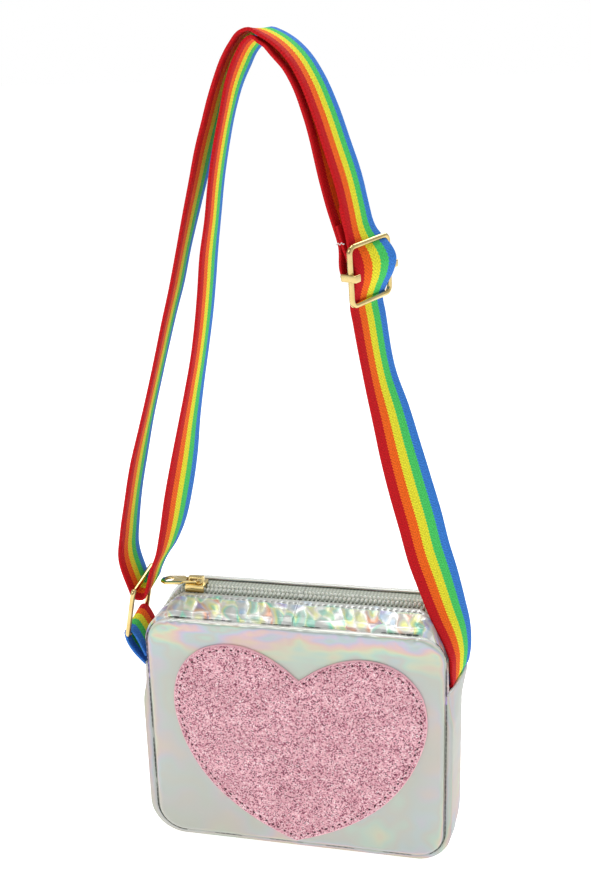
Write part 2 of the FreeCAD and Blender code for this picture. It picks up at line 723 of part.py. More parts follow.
def strap_root_and_strands():
    foot, low = value_of("panel_width / 2 + foot_out"), value_of("joint_height")
    upright = [
        (foot, 0.0, low + value_of("2 * tongue_bend"), 0.0),
        (foot, 0.0, low + value_of("ring_lift"), value_of("root_twist")),
    ]
    root = tongue(1) + upright + route(RIGHT_ROOT, 1)
    rise = route(RIGHT_RISE, 1)
    add_solids("strap_root", [webbing(root, after=rise[0])])
    straight = [strap_run(share) for share in (0.0, RUN_EASE, 1.0 - RUN_EASE, 1.0)]
    bend = ring_bend()
    outer = rise + straight + route(OVER_TOP, 1) + route(OUTER_LEFT, -1) + bend[:4]
    add_solids("strap_outer", [webbing(outer, before=root[-1], after=bend[4])])
    behind = -value_of(BAR_IN)
    low_end, high_end, outward = run_frame()
    length = (high_end - low_end).Length
    drop = value_of("adjuster_drop") / (high_end.z - low_end.z)
    tail = 1.0 - drop + value_of("adjuster_travel + adjuster_wire / 2 + webbing_wall") / length
    end = [strap_run(share, behind) for share in (1.0, 1.0 - RUN_EASE, tail)]
    inner = bend[3:] + route(INNER_LEFT, -1) + route(INNER_TOP, 1) + end
    add_solids("strap_inner", [webbing(inner, before=bend[2])])


def ring_tab():
    """The loop that holds the ring: up the outside, over the ring's lower bar and down the inside."""
    low, foot = value_of("joint_height"), value_of("panel_width / 2 + foot_out")
    bar = ring_place(0)
    radius = value_of("ring_wire / 2 + fit_gap + webbing_wall / 2")
    lean = math.degrees(math.atan2(bar.z - low, bar.x + foot))
    over = round_bar(bar, radius, [lean + turn for turn in (90, 60, 30, 0, -30, -60, -90)])
    heel = (-foot + value_of("webbing_wall + fit_gap"), 0.0, low + value_of("tab_heel_lift"), 0.0)
    add_solids("ring_tab", [webbing(tongue(-1) + over + [heel])])


layers()
base_board()
heart_applique()
lower_gusset()
lining_gusset()
zip_runs()
zip_stops()
zip_slider()
zip_pull()
strap_ring()
strap_root_and_strands()
ring_tab()
adjuster_frame()
adjuster_bar()
strap_end_loop()
doc.recompute()

NODES = [
    "front_panel", "back_panel", "front_foam", "back_foam", "lining_front", "lining_back", "lining_gusset",
    "base_board", "heart_applique", "lower_gusset", "zip_strip_ends", "zip_tape_ends", "zip_coil_ends",
    "zip_strip_front", "zip_tape_front", "zip_coil_front", "zip_strip_back", "zip_tape_back", "zip_coil_back",
    "zip_stops", "zip_slider", "zip_pull", "strap_ring", "strap_root", "strap_outer", "strap_inner",
    "strap_end_loop", "ring_tab", "adjuster_frame", "adjuster_bar",
]

for item in doc.Objects:
    if "Invalid" in item.State or "Error" in item.State:
        raise RuntimeError(f"{item.Label} failed: {item.State}")

os.makedirs("parts", exist_ok=True)
for label in NODES:
    shape = doc.getObjectsByLabel(label)[0].Shape
    if shape.isNull() or not shape.isValid():
        raise RuntimeError(f"{label} has no valid shape")
    shape.exportStep(f"parts/{label}.step")
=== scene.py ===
import bmesh
import bpy
import math
from mathutils import Matrix, Vector, noise


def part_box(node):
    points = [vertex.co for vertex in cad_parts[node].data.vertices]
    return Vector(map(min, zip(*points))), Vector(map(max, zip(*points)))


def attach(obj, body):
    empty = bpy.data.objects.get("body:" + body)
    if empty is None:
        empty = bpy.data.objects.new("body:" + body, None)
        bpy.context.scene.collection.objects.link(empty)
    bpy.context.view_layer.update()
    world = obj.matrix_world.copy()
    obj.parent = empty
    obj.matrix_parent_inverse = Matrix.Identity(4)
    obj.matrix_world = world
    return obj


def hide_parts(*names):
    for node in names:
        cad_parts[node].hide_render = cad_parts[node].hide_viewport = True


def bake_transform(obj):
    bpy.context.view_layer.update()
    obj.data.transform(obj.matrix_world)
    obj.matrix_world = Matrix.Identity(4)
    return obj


# A small crossbody purse of holographic vinyl with a glitter heart, a coil zip and a striped strap.
# Lengths are in metres. +X is to the right of the heart, -Y is the front, +Z is up.
# side is -1 at the front and 1 at the back; half is -1 on the left and 1 on the right.

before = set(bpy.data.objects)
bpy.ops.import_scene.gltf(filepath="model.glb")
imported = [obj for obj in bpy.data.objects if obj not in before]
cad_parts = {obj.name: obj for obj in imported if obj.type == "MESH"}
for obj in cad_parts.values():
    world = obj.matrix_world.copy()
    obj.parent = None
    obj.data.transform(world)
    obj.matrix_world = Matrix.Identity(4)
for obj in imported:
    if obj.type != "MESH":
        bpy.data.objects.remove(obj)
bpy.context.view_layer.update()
MM = 0.001
DEPTHWAYS = Vector((0.0, 1.0, 0.0))

# Places read from the frame
PANEL_LOW, PANEL_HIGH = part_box("front_panel")
PANEL_HALF = PANEL_HIGH.x
SEAM_LOW = PANEL_LOW.z
SEAM_TOP = PANEL_HIGH.z
PANEL_MIDDLE = (SEAM_LOW + SEAM_TOP) / 2
PANEL_HALF_HEIGHT = (SEAM_TOP - SEAM_LOW) / 2
FACE_DEPTH = -PANEL_LOW.y
SEAM_DEPTH = -PANEL_HIGH.y
BAND_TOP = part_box("lower_gusset")[1].z
STRIP_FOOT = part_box("zip_strip_ends")[0].z
STRIP_EDGE = {-1: -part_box("zip_strip_front")[1].y, 1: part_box("zip_strip_back")[0].y}
ROOF_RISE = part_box("zip_strip_front")[1].z - SEAM_TOP
SIDE_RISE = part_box("zip_strip_ends")[1].x - PANEL_HALF
JOINT_HEIGHT = (BAND_TOP + STRIP_FOOT) / 2
LINING_DEPTH = -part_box("lining_front")[0].y
FOAM_INSET = PANEL_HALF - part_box("front_foam")[1].x

# Sizes of the bag
PANEL_CORNER = 15 * MM
STRAIGHT = PANEL_HALF - PANEL_CORNER
ARC = PANEL_CORNER * math.pi / 2
SEAM_HALF = SEAM_DEPTH + 0.2 * MM
GUSSET_PROUD = 3 * MM
GUSSET_CROWN = 2 * MM
STRIP_WALL = 1.6 * MM
TAPE_WALL = 0.6 * MM
VINYL_WALL = 1.2 * MM
FILM_WALL = 0.9 * MM
FOAM_WALL = 1.1 * MM
FOAM_DEPTH = SEAM_DEPTH - 0.2 * MM
LINING_WALL = 0.4 * MM
LINING_INSET = 0.5 * MM
CHAIN_SLOT = 1.2 * MM
COIL_WIDTH = 2.6 * MM
COIL_HEIGHT = 2.4 * MM

# Sizes of the strap and its hardware
WEBBING_WIDTH = 25 * MM
WEBBING_WALL = 1.5 * MM
WEBBING_ROOM = 0.4 * MM
FIT_GAP = 0.3 * MM
WIRE = 2.6 * MM
METAL_EDGE = 0.3 * MM
FOOT_OUT = 7 * MM
TONGUE_BEND = 2 * MM
TAB_HEEL_LIFT = 4.5 * MM
RING_HEIGHT = 27.7 * MM
RING_CORNER = 2 * MM
RING_OUT = 13.5 * MM
RING_LIFT = 18 * MM
RING_LEAN = math.radians(13)
RING_ROLL = math.radians(7)
RING_PLAY = 2.0 * MM
RING_SAG = 4.2 * MM
STRAP_HEIGHT = 278 * MM
RUN_TWIST = math.radians(26)
ADJUSTER_DROP = 39 * MM
ADJUSTER_HEIGHT = 27 * MM
ADJUSTER_CORNER = 3 * MM
ADJUSTER_PROUD = 2.7 * MM
ADJUSTER_PITCH = math.radians(9)
END_LOOP = 22 * MM
SLEEVE = WIRE + 2 * FIT_GAP + 1 * MM


# Materials

def linear(code):
    """The linear colour of an sRGB hex value."""
    parts = [int(code[index:index + 2], 16) / 255 for index in (1, 3, 5)]
    return [part / 12.92 if part <= 0.04045 else ((part + 0.055) / 1.055) ** 2.4 for part in parts] + [1.0]


def feed(tree, node, inputs):
    """Fills a node's inputs, each with a value, a hex colour, an output, or a node's first output in use."""
    for name, value in inputs.items():
        if isinstance(value, bpy.types.Node):
            value = next(output for output in value.outputs if output.enabled)
        if isinstance(value, bpy.types.NodeSocket):
            tree.links.new(value, node.inputs[name])
        else:
            node.inputs[name].default_value = linear(value) if isinstance(value, str) else value


def add(tree, kind, inputs, stops=(), **settings):
    """A node with its settings and inputs, and a ramp's stops."""
    node = tree.nodes.new("ShaderNode" + kind)
    for name, value in settings.items():
        setattr(node, name, value)
    feed(tree, node, inputs)
    while stops and len(node.color_ramp.elements) < len(stops):
        node.color_ramp.elements.new(1.0)
    for index, (place, code) in enumerate(stops):
        node.color_ramp.elements[index].position = place
        node.color_ramp.elements[index].color = linear(code)
    return node


def new_material(name):
    """A material with its nodes, its shader and the places that its patterns can follow."""
    material = bpy.data.materials.new(name)
    material.use_nodes = True
    tree = material.node_tree
    return material, tree, tree.nodes["Principled BSDF"], add(tree, "TexCoord", {}).outputs


def per(length):
    """A texture scale that gives one feature in a length."""
    return 1 / length


# Pale foil colours in the order that the film's grating shows them as it tilts
SOFT_FOIL = [
    (0.0, "#b9bbb3"), (0.14, "#b0cabb"), (0.28, "#c8ccae"), (0.42, "#d4bca8"), (0.56, "#d2b4b6"),
    (0.70, "#beb6c9"), (0.85, "#b0c0c2"), (1.0, "#b9bbb3"),
]
BRIGHT_FOIL = [
    (0.0, "#bfc2bd"), (0.10, "#7fd2ba"), (0.21, "#e8ea8e"), (0.31, "#d6d6cb"), (0.41, "#e4a07a"),
    (0.52, "#9c8b98"), (0.64, "#9a7ae0"), (0.75, "#9ac4e8"), (0.86, "#cdd0cd"), (1.0, "#bfc2bd"),
]


def foil_finish(tree, shader, hue, foil, silver, amount, gloss, metal):
    """The foil's colour for a hue that wraps round, mixed into silver, under a clear film. metal is the
    share of the foil that shines through the film."""
    turn = add(tree, "Math", {0: hue}, operation="FRACT")
    colours = add(tree, "ValToRGB", {"Fac": turn}, foil)
    feed(tree, shader, {
        "Metallic": metal, "Roughness": gloss, "Specular IOR Level": min(0.5, metal + 0.1),
        "Coat Weight": metal, "Coat Roughness": 0.15,
    })
    return add(tree, "Mix", {"Factor": amount, "A": silver, "B": colours}, data_type="RGBA")


def soft_vinyl(name, silver, gloss, metal):
    """PVC film on a cloth back with an embossed foil layer: pale silver, with faint colours that turn as it
    bends, strongest and streaked under the top seam, and a painted white reflection where its edge rolls
    upward. The side band's film is duller."""
    material, tree, shader, place = new_material(name)
    drift = add(tree, "TexNoise", {"Vector": place["Object"], "Scale": per(30 * MM), "Detail": 2.0})
    lean = add(tree, "VectorMath", {0: place["Normal"], 1: (0.62, 0.30, 0.72)}, operation="DOT_PRODUCT")
    hue = add(tree, "Math", {0: drift, 1: 2.2, 2: lean}, operation="MULTIPLY_ADD")
    veil = add(tree, "TexNoise", {"Vector": place["Object"], "Scale": per(48 * MM), "Detail": 1.0})
    patches = add(tree, "MapRange", {
        "Value": veil, "From Min": 0.38, "From Max": 0.64, "To Min": 0.12, "To Max": 0.6,
    })
    height = add(tree, "SeparateXYZ", {"Vector": place["Object"]}).outputs["Z"]
    top = add(tree, "MapRange", {
        "Value": height, "From Min": SEAM_TOP - 24 * MM, "From Max": SEAM_TOP - 5 * MM, "To Max": 0.7,
    })
    amount = add(tree, "Math", {0: patches, 1: top}, operation="ADD", use_clamp=True)
    squeezed = add(tree, "VectorMath", {0: place["Object"], 1: (1.0, 1.0, 5.0)}, operation="MULTIPLY")
    streak = add(tree, "TexNoise", {"Vector": squeezed, "Scale": per(30 * MM), "Detail": 1.0})
    streaks = add(tree, "Math", {0: streak, 1: top}, operation="MULTIPLY")
    streaked = add(tree, "Math", {0: streaks, 1: 2.4, 2: hue}, operation="MULTIPLY_ADD")
    colour = foil_finish(tree, shader, streaked, SOFT_FOIL, silver, amount, gloss, metal)
    # Painted reflection: faces turned upward, such as the rolled top edge, are mixed towards near-white as if
    # they mirrored a bright sky.
    upward = add(tree, "SeparateXYZ", {"Vector": place["Normal"]}).outputs["Z"]
    painted_reflection = add(tree, "MapRange", {"Value": upward, "From Min": 0.3, "From Max": 0.75, "To Max": 0.8})
    pale = add(tree, "Mix", {"Factor": painted_reflection, "A": colour, "B": "#f3f6ef"}, data_type="RGBA")
    grain = add(tree, "TexNoise", {"Vector": place["Object"], "Scale": per(0.9 * MM), "Detail": 3.0})
    bump = add(tree, "Bump", {"Height": grain, "Strength": 0.05, "Distance": 0.2 * MM})
    feed(tree, shader, {"Base Color": pale, "Normal": bump})
    return material


def gathered_vinyl():
    """The same film where it is gathered: each small facet between two creases shows a colour of its own,
    and the creases get a painted white highlight. The facets' colours and the highlight are attributes."""
    material, tree, shader, place = new_material("gathered holographic vinyl")
    facets = add(tree, "Attribute", {}, attribute_name="foil").outputs["Fac"]
    drift = add(tree, "TexNoise", {"Vector": place["Object"], "Scale": per(12 * MM), "Detail": 1.0})
    hue = add(tree, "Math", {0: drift, 1: 0.7, 2: facets}, operation="MULTIPLY_ADD")
    veil = add(tree, "TexNoise", {"Vector": place["Object"], "Scale": per(16 * MM), "Detail": 1.0})
    amount = add(tree, "MapRange", {"Value": veil, "From Min": 0.35, "From Max": 0.6, "To Min": 0.4})
    colour = foil_finish(tree, shader, hue, BRIGHT_FOIL, "#c8cac5", amount, 0.3, 0.3)
    # Painted highlight: the creases and the long fold are mixed towards white, as if they caught the light.
    crease_highlight = add(tree, "Attribute", {}, attribute_name="crease_highlight").outputs["Fac"]
    highlit = add(tree, "Mix", {"Factor": crease_highlight, "A": colour, "B": "#fbfbf8"}, data_type="RGBA")
    feed(tree, shader, {"Base Color": highlit})
    return material


def glitter_sheet():
    """Glitter fabric: flakes bonded on a pink ground, each at its own tilt, with a plain cut edge. Their
    colours are partly their own tones and partly painted: glints on the palest, shade on the darkest.
    The flakes are drawn 0.55 mm wide, coarser than real ones, so that they show."""
    material, tree, shader, place = new_material("pink glitter fabric")
    flake = add(tree, "TexVoronoi", {"Vector": place["Object"], "Scale": per(0.55 * MM)})
    chance = add(tree, "SeparateColor", {"Color": flake.outputs["Color"]}).outputs
    # Flake colours, partly real tones and partly painted light: the near-white ones are painted glints, the
    # darkest painted shade.
    flakes = add(tree, "ValToRGB", {"Fac": chance["Red"]}, [
        (0.0, "#5e2138"), (0.17, "#97485f"), (0.30, "#d6909f"), (0.52, "#e6adb8"), (0.80, "#efc0c8"),
        (0.94, "#f6d2d7"), (1.0, "#fff0f1"),
    ])
    cloud = add(tree, "TexNoise", {"Vector": place["Object"], "Scale": per(14 * MM), "Detail": 2.0})
    tone = add(tree, "ValToRGB", {"Fac": cloud}, [(0.35, "#ddcdd1"), (0.65, "#ffffff")])
    body = add(tree, "Mix", {"Factor": 0.55, "A": flakes, "B": tone}, data_type="RGBA", blend_type="MULTIPLY")
    inset = add(tree, "SeparateXYZ", {"Vector": place["UV"]}).outputs["X"]
    rim = add(tree, "MapRange", {
        "Value": inset, "From Min": 0.2 * MM, "From Max": 0.5 * MM, "To Min": 1.0, "To Max": 0.0,
    })
    colour = add(tree, "Mix", {"Factor": rim, "A": body, "B": "#f7bcc7"}, data_type="RGBA")
    rough = add(tree, "MapRange", {"Value": chance["Green"], "To Min": 0.38, "To Max": 0.75})
    bump = add(tree, "Bump", {"Height": chance["Blue"], "Strength": 0.22, "Distance": 0.25 * MM})
    feed(tree, shader, {"Base Color": colour, "Roughness": rough, "Normal": bump, "Specular IOR Level": 0.4})
    return material


STRIPES = [(0.0, "#c4151c"), (0.2, "#f2661a"), (0.4, "#e9e135"), (0.6, "#4bc964"), (0.8, "#3c7dd2")]
RIB = 1.5 * MM
STRIPE_FRAY = 0.24 * MM


def striped_webbing():
    """Polyester webbing woven in five lengthwise stripes, with a fine herringbone rib.
    The rib is drawn 1.5 mm wide, coarser than the real one, so that it shows."""
    material, tree, shader, place = new_material("striped polyester webbing")
    flat = add(tree, "SeparateXYZ", {"Vector": place["UV"]}).outputs
    slant = add(tree, "Math", {0: flat["X"], 1: WEBBING_WIDTH / 10}, operation="PINGPONG")
    phase = add(tree, "Math", {0: slant, 1: 0.9, 2: flat["Y"]}, operation="MULTIPLY_ADD")
    turns = add(tree, "Math", {0: phase, 1: math.tau / RIB}, operation="MULTIPLY")
    rib = add(tree, "Math", {0: turns}, operation="SINE")
    ragged = add(tree, "Math", {0: rib, 1: STRIPE_FRAY, 2: flat["X"]}, operation="MULTIPLY_ADD")
    share = add(tree, "Math", {0: ragged, 1: WEBBING_WIDTH}, operation="DIVIDE")
    stripe = add(tree, "ValToRGB", {"Fac": share}, STRIPES)
    stripe.color_ramp.interpolation = "CONSTANT"
    fuzz = add(tree, "TexNoise", {"Vector": place["UV"], "Scale": per(0.8 * MM), "Detail": 2.0})
    shade = add(tree, "Math", {0: rib, 1: 0.13, 2: fuzz}, operation="MULTIPLY_ADD")
    level = add(tree, "MapRange", {
        "Value": shade, "From Min": 0.25, "From Max": 0.75, "To Min": 0.74, "To Max": 1.18,
    })
    colour = add(tree, "VectorMath", {0: stripe, "Scale": level}, operation="SCALE")
    bump = add(tree, "Bump", {"Height": rib, "Strength": 0.4, "Distance": 0.12 * MM})
    feed(tree, shader, {"Base Color": colour, "Normal": bump, "Roughness": 0.75, "Specular IOR Level": 0.12})
    return material


def woven_cloth(name, light, dark, thread):
    """Plain woven polyester: crossing threads that catch the light in turn."""
    material, tree, shader, place = new_material(name)
    threads = {"Vector": place["UV"], "Scale": per(thread) / math.tau}
    warp = add(tree, "TexWave", threads).outputs["Fac"]
    weft = add(tree, "TexWave", threads, bands_direction="Y").outputs["Fac"]
    weave = add(tree, "Math", {0: warp, 1: weft}, operation="MULTIPLY")
    tones = add(tree, "ValToRGB", {"Fac": weave}, [(0.0, dark), (0.7, light)])
    bump = add(tree, "Bump", {"Height": weave, "Strength": 0.4, "Distance": 0.15 * MM})
    feed(tree, shader, {"Base Color": tones, "Normal": bump, "Roughness": 0.7})
    return material


def mottled(name, light, dark, grain, roughness, metallic=0.0, relief=0.1):
    """One stuff with a faint mottle: moulded nylon, plated metal, thread, foam or board."""
    material, tree, shader, place = new_material(name)
    cloud = add(tree, "TexNoise", {"Vector": place["Object"], "Scale": per(grain), "Detail": 3.0})
    tones = add(tree, "ValToRGB", {"Fac": cloud}, [(0.35, dark), (0.65, light)])
    rough = add(tree, "MapRange", {"Value": cloud, "To Min": 0.75 * roughness, "To Max": 1.25 * roughness})
    bump = add(tree, "Bump", {"Height": cloud, "Strength": relief, "Distance": 0.1 * MM})
    feed(tree, shader, {"Base Color": tones, "Roughness": rough, "Normal": bump, "Metallic": metallic})
    return material


PANEL_VINYL = soft_vinyl("soft holographic vinyl", "#b4b6ab", 0.3, 0.3)
BAND_VINYL = soft_vinyl("satin holographic vinyl", "#c3c4bd", 0.5, 0.0)
STRIP_VINYL = gathered_vinyl()
GLITTER = glitter_sheet()
WEBBING = striped_webbing()
TAPE_CLOTH = woven_cloth("grey zip tape", "#d0d6cb", "#a3a99e", 0.9 * MM)
LINING_CLOTH = woven_cloth("grey lining taffeta", "#a6a9a4", "#8b8e8a", 0.8 * MM)
COIL_NYLON = mottled("grey nylon coil", "#eff2ea", "#d5dacf", 2 * MM, 0.3)
GOLD = mottled("pale gold plating", "#dfc98f", "#d2b97a", 6 * MM, 0.14, metallic=1.0, relief=0.03)
SILVER_THREAD = mottled("silver grey thread", "#c4c7c2", "#9a9e98", 0.6 * MM, 0.5)
# Near-black beads, partly thread and partly painted shadow, in the seams' grooves and between the zip's teeth
THREAD_AND_SHADOW = mottled("dark thread and painted shadow", "#4b4e4a", "#2d2f2c", 0.6 * MM, 0.6)
ROSE_THREAD = mottled("dark rose thread", "#4e2030", "#3c1623", 0.6 * MM, 0.7)
WHITE_THREAD = mottled("white thread", "#f1efec", "#d8d5d0", 0.6 * MM, 0.6)
FOAM = mottled("white foam", "#efeee9", "#dcdad4", 1.5 * MM, 0.85, relief=0.4)
BOARD = mottled("grey board", "#6a6a68", "#565654", 3 * MM, 0.8)


# Pieces

def piece_from(shape, name, material, nodes=(), wall=0.0, offset=-1.0, body=""):
    """A piece in place of nodes, with a wall's thickness, riding on a body where one is named."""
    mesh = bpy.data.meshes.new(name)
    shape.to_mesh(mesh)
    shape.free()
    mesh.shade_smooth()
    mesh.materials.append(material)
    piece = bpy.data.objects.new(name, mesh)
    bpy.context.scene.collection.objects.link(piece)
    if wall:
        modifier = piece.modifiers.new("wall", "SOLIDIFY")
        modifier.thickness = wall
        modifier.offset = offset
    if nodes:
        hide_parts(*nodes)
    if body:
        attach(piece, body)
    return piece


def sheet_shape(columns, rows, length, width, place):
    """A grid laid out by place, which takes the shares of its length and width; UVs are in metres."""
    shape = bmesh.new()
    flat = shape.loops.layers.uv.new("flat")
    bmesh.ops.create_grid(shape, x_segments=columns, y_segments=rows, size=0.5)
    shares = [(vert.co.x + 0.5, vert.co.y + 0.5) for vert in shape.verts]
    shape.verts.index_update()
    for face in shape.faces:
        for loop in face.loops:
            along, across = shares[loop.vert.index]
            loop[flat].uv = (across * width, along * length)
    for vert, share in zip(shape.verts, shares):
        vert.co = place(*share)
    return shape


def bead(shape, centre, along, normal, sizes):
    """A rounded bit, with its half sizes along, across and out of the surface."""
    across = normal.cross(along).normalized()
    turn = Matrix((along.normalized(), across, normal)).transposed().to_4x4()
    whole = Matrix.Translation(centre) @ turn @ Matrix.Diagonal((*sizes, 1.0))
    bmesh.ops.create_uvsphere(shape, u_segments=8, v_segments=5, radius=1.0, matrix=whole)


def ease(value):
    """A smooth step from 0 to 1."""
    share = min(1.0, max(0.0, value))
    return share * share * (3 - 2 * share)


def hill(value, width):
    """A round hill of height 1 about 0."""
    return math.exp(-(value / width) ** 2)


def roll(distance, radius):
    """Height of a quarter-round edge a distance in from it, as a share of its radius."""
    short = 1 - min(max(distance, 0.0) / radius, 1.0)
    return math.sqrt(1 - short * short)


def waver(*place):
    """Soft hills and hollows, from -1 to 1."""
    return noise.noise(Vector(place))


def ridge(*place):
    """Sharp creases between soft hollows, from -1 to 1."""
    return 1 - 3 * abs(waver(*place))


# Front and back: padded vinyl panels whose edges roll in to the seam

PANEL_CROWN = 1.4 * MM
EDGE_ROLL = 3.2 * MM
EDGE_DROP = 2.4 * MM
SWELL_WAVE = 38 * MM
LAYER_WAVE = 25 * MM
BAND_WAVE = 20 * MM


def rounded_place(across, up, half_width, half_height, corner):
    """A point of a rectangle with round corners, for shares of its width and height."""
    x, z = (2 * across - 1) * half_width, (2 * up - 1) * half_height
    over_x = max(0.0, abs(x) - half_width + corner) / corner
    over_z = max(0.0, abs(z) - half_height + corner) / corner
    if over_x > 0 and over_z > 0:
        new_x = half_width - corner + corner * over_x * math.sqrt(1 - over_z * over_z / 2)
        new_z = half_height - corner + corner * over_z * math.sqrt(1 - over_x * over_x / 2)
        x, z = math.copysign(new_x, x), math.copysign(new_z, z)
    return x, z


def edge_distance(x, z):
    """Distance of a point of a panel from the panel's edge."""
    over_x, over_z = abs(x) - STRAIGHT, abs(z) - PANEL_HALF_HEIGHT + PANEL_CORNER
    outside = math.hypot(max(over_x, 0.0), max(over_z, 0.0))
    return PANEL_CORNER - outside - min(max(over_x, over_z), 0.0)


def panel_swell(x, z):
    """How far the panel stands out from its flat face, without its rolled edge."""
    arch = (1 - (x / PANEL_HALF) ** 2) * (1 - (z / PANEL_HALF_HEIGHT) ** 2)
    wave = waver(x / SWELL_WAVE, z / SWELL_WAVE, 0.0)
    return PANEL_CROWN * arch + 0.5 * MM * wave * ease(arch * 2)


def panel_pucker(x, z, distance):
    """Gathers and folds along the seam, strongest at the top, and ripples at both ends of the top seam."""
    top = ease((z - PANEL_HALF_HEIGHT + 16 * MM) / (10 * MM))
    along = x if abs(z) > PANEL_HALF_HEIGHT - PANEL_CORNER else z
    gather = ridge(along / (7 * MM), distance / (14 * MM), 3.1) * math.exp(-distance / (5 * MM))
    folds = math.sin(distance / (1.5 * MM) + 1.5 * waver(along / (18 * MM), 7.7, 0.0))
    folds *= top * math.exp(-distance / (4 * MM))
    end = math.hypot(abs(x) - STRAIGHT + 2 * MM, z - PANEL_HALF_HEIGHT)
    ripple = math.sin(end / (0.55 * MM)) * math.exp(-end / (4.5 * MM))
    return (0.4 * ripple + (0.16 + 0.34 * top) * gather + 0.28 * folds) * MM


def panel(name, node, side):
    def place(across, up):
        x, z = rounded_place(across, up, PANEL_HALF, PANEL_HALF_HEIGHT, PANEL_CORNER)
        distance = edge_distance(x, z)
        out = FACE_DEPTH + panel_swell(x, z) + panel_pucker(x, z, distance)
        out -= EDGE_DROP * (1 - roll(distance, EDGE_ROLL))
        return Vector((-side * x, side * out, PANEL_MIDDLE + z))

    shape = sheet_shape(150, 126, 2 * PANEL_HALF, 2 * PANEL_HALF_HEIGHT, place)
    piece_from(shape, name, PANEL_VINYL, [node], VINYL_WALL, body="bag")


def inner_sheet(name, node, depth, inset, wall, material, side):
    """A flat layer behind a panel, slightly wavy."""
    half_width, half_height = PANEL_HALF - inset, PANEL_HALF_HEIGHT - inset

    def place(across, up):
        x, z = rounded_place(across, up, half_width, half_height, PANEL_CORNER - inset)
        wave = 0.2 * MM * waver(x / LAYER_WAVE, z / LAYER_WAVE, depth / LAYER_WAVE)
        return Vector((-side * x, side * (depth + wave), PANEL_MIDDLE + z))

    shape = sheet_shape(50, 42, 2 * half_width, 2 * half_height, place)
    return piece_from(shape, name, material, [node], wall, body="bag")


# The gusset: strips carried along the panels' seam line

STRIP_TUCK = 6 * MM
SIDE_RUN = SEAM_TOP - PANEL_CORNER - STRIP_FOOT
TOP_REACH = STRAIGHT + ARC + SIDE_RUN + STRIP_TUCK
BOTTOM_REACH = STRAIGHT + ARC + BAND_TOP - SEAM_LOW - PANEL_CORNER
LINING_REACH = BOTTOM_REACH + 18 * MM


def on_seam(distance, top):
    """Point and outward direction on the seam line, a distance right of the middle of its top or bottom,
    with the share of the corner passed."""
    hand, run = math.copysign(1.0, distance), abs(distance)
    angle = min(max(run - STRAIGHT, 0.0) / PANEL_CORNER, math.pi / 2)
    x = min(run, STRAIGHT) + PANEL_CORNER * math.sin(angle)
    drop = PANEL_CORNER * (1 - math.cos(angle)) + max(run - STRAIGHT - ARC, 0.0)
    z = SEAM_TOP - drop if top else SEAM_LOW + drop
    out = Vector((hand * math.sin(angle), 0.0, math.cos(angle) if top else -math.cos(angle)))
    return Vector((hand * x, 0.0, z)), out, angle / (math.pi / 2)


# The strap's lowest stretch on the right, where it hugs the bag's side: distance out from the panel's edge,
# height above the joint, and the twist in degrees
ROOT_RISE = [
    (-1.0 * MM, -0.4 * MM, 6.0), (2.6 * MM, 0.6 * MM, 8.0), (4.1 * MM, 4.0 * MM, 13.0),
    (4.5 * MM, 9.0 * MM, 16.5), (4.6 * MM, 15.0 * MM, 18.0), (3.2 * MM, 23.0 * MM, 23.5),
    (-1.7 * MM, 37.5 * MM, 35.0), (-7.4 * MM, 55.0 * MM, 44.0), (-11.4 * MM, 67.0 * MM, 47.0),
]
STRAP_ROOM = 1.1 * MM


def strap_lean(up):
    """Distance out and twist of the strap's lowest stretch, at a height above the joint."""
    for (near, low, turn), (far, high, onward) in zip(ROOT_RISE, ROOT_RISE[1:]):
        if up <= high:
            share = max(0.0, (up - low) / (high - low))
            return near + share * (far - near), math.radians(turn + share * (onward - turn))
    return ROOT_RISE[-1][0], math.radians(ROOT_RISE[-1][2])


def under_strap(point):
    """A point of the zip or its strips, pressed in where the strap lies on it."""
    up = point.z - JOINT_HEIGHT
    if point.x < 0 or up < 0:
        return point
    out, twist = strap_lean(up)
    front = -WEBBING_WIDTH / 2 * math.cos(twist)
    limit = PANEL_HALF + out + max(point.y, front) * math.tan(twist) - STRAP_ROOM
    limit += 0.1 * max(0.0, front - point.y)
    near = max(0.0, 1 - abs(point.x - limit) / MM)
    pressed = min(point.x, limit) - near * near * MM / 4
    point.x += (pressed - point.x) * ease(up / (3 * MM))
    return point


BAND_EDGE = 0.8 * MM
BAND_ROLL = 1.5 * MM
LEFT_FULLER = 1.4 * MM
LIP_RISE = 2.5 * MM
LIP_LIFT = 1.5 * MM
LIP_LENGTH = 16 * MM
LIP_ROOM = 2.05 * MM
LIP_BESIDE = 1.2 * MM
TAB_LIP = 5.6 * MM


def lip_out(x, y):
    """How far the band's lip stands out round the webbing that comes up inside it."""
    half_width = WEBBING_WIDTH / 2
    reach = TAB_LIP
    if x > 0:
        out, twist = strap_lean(LIP_LIFT)
        reach = out + min(max(y, -half_width), half_width) * math.tan(twist) + LIP_ROOM
    beside = ease((abs(y) - half_width) / (8 * MM))
    return reach * (1 - beside) + LIP_BESIDE * beside


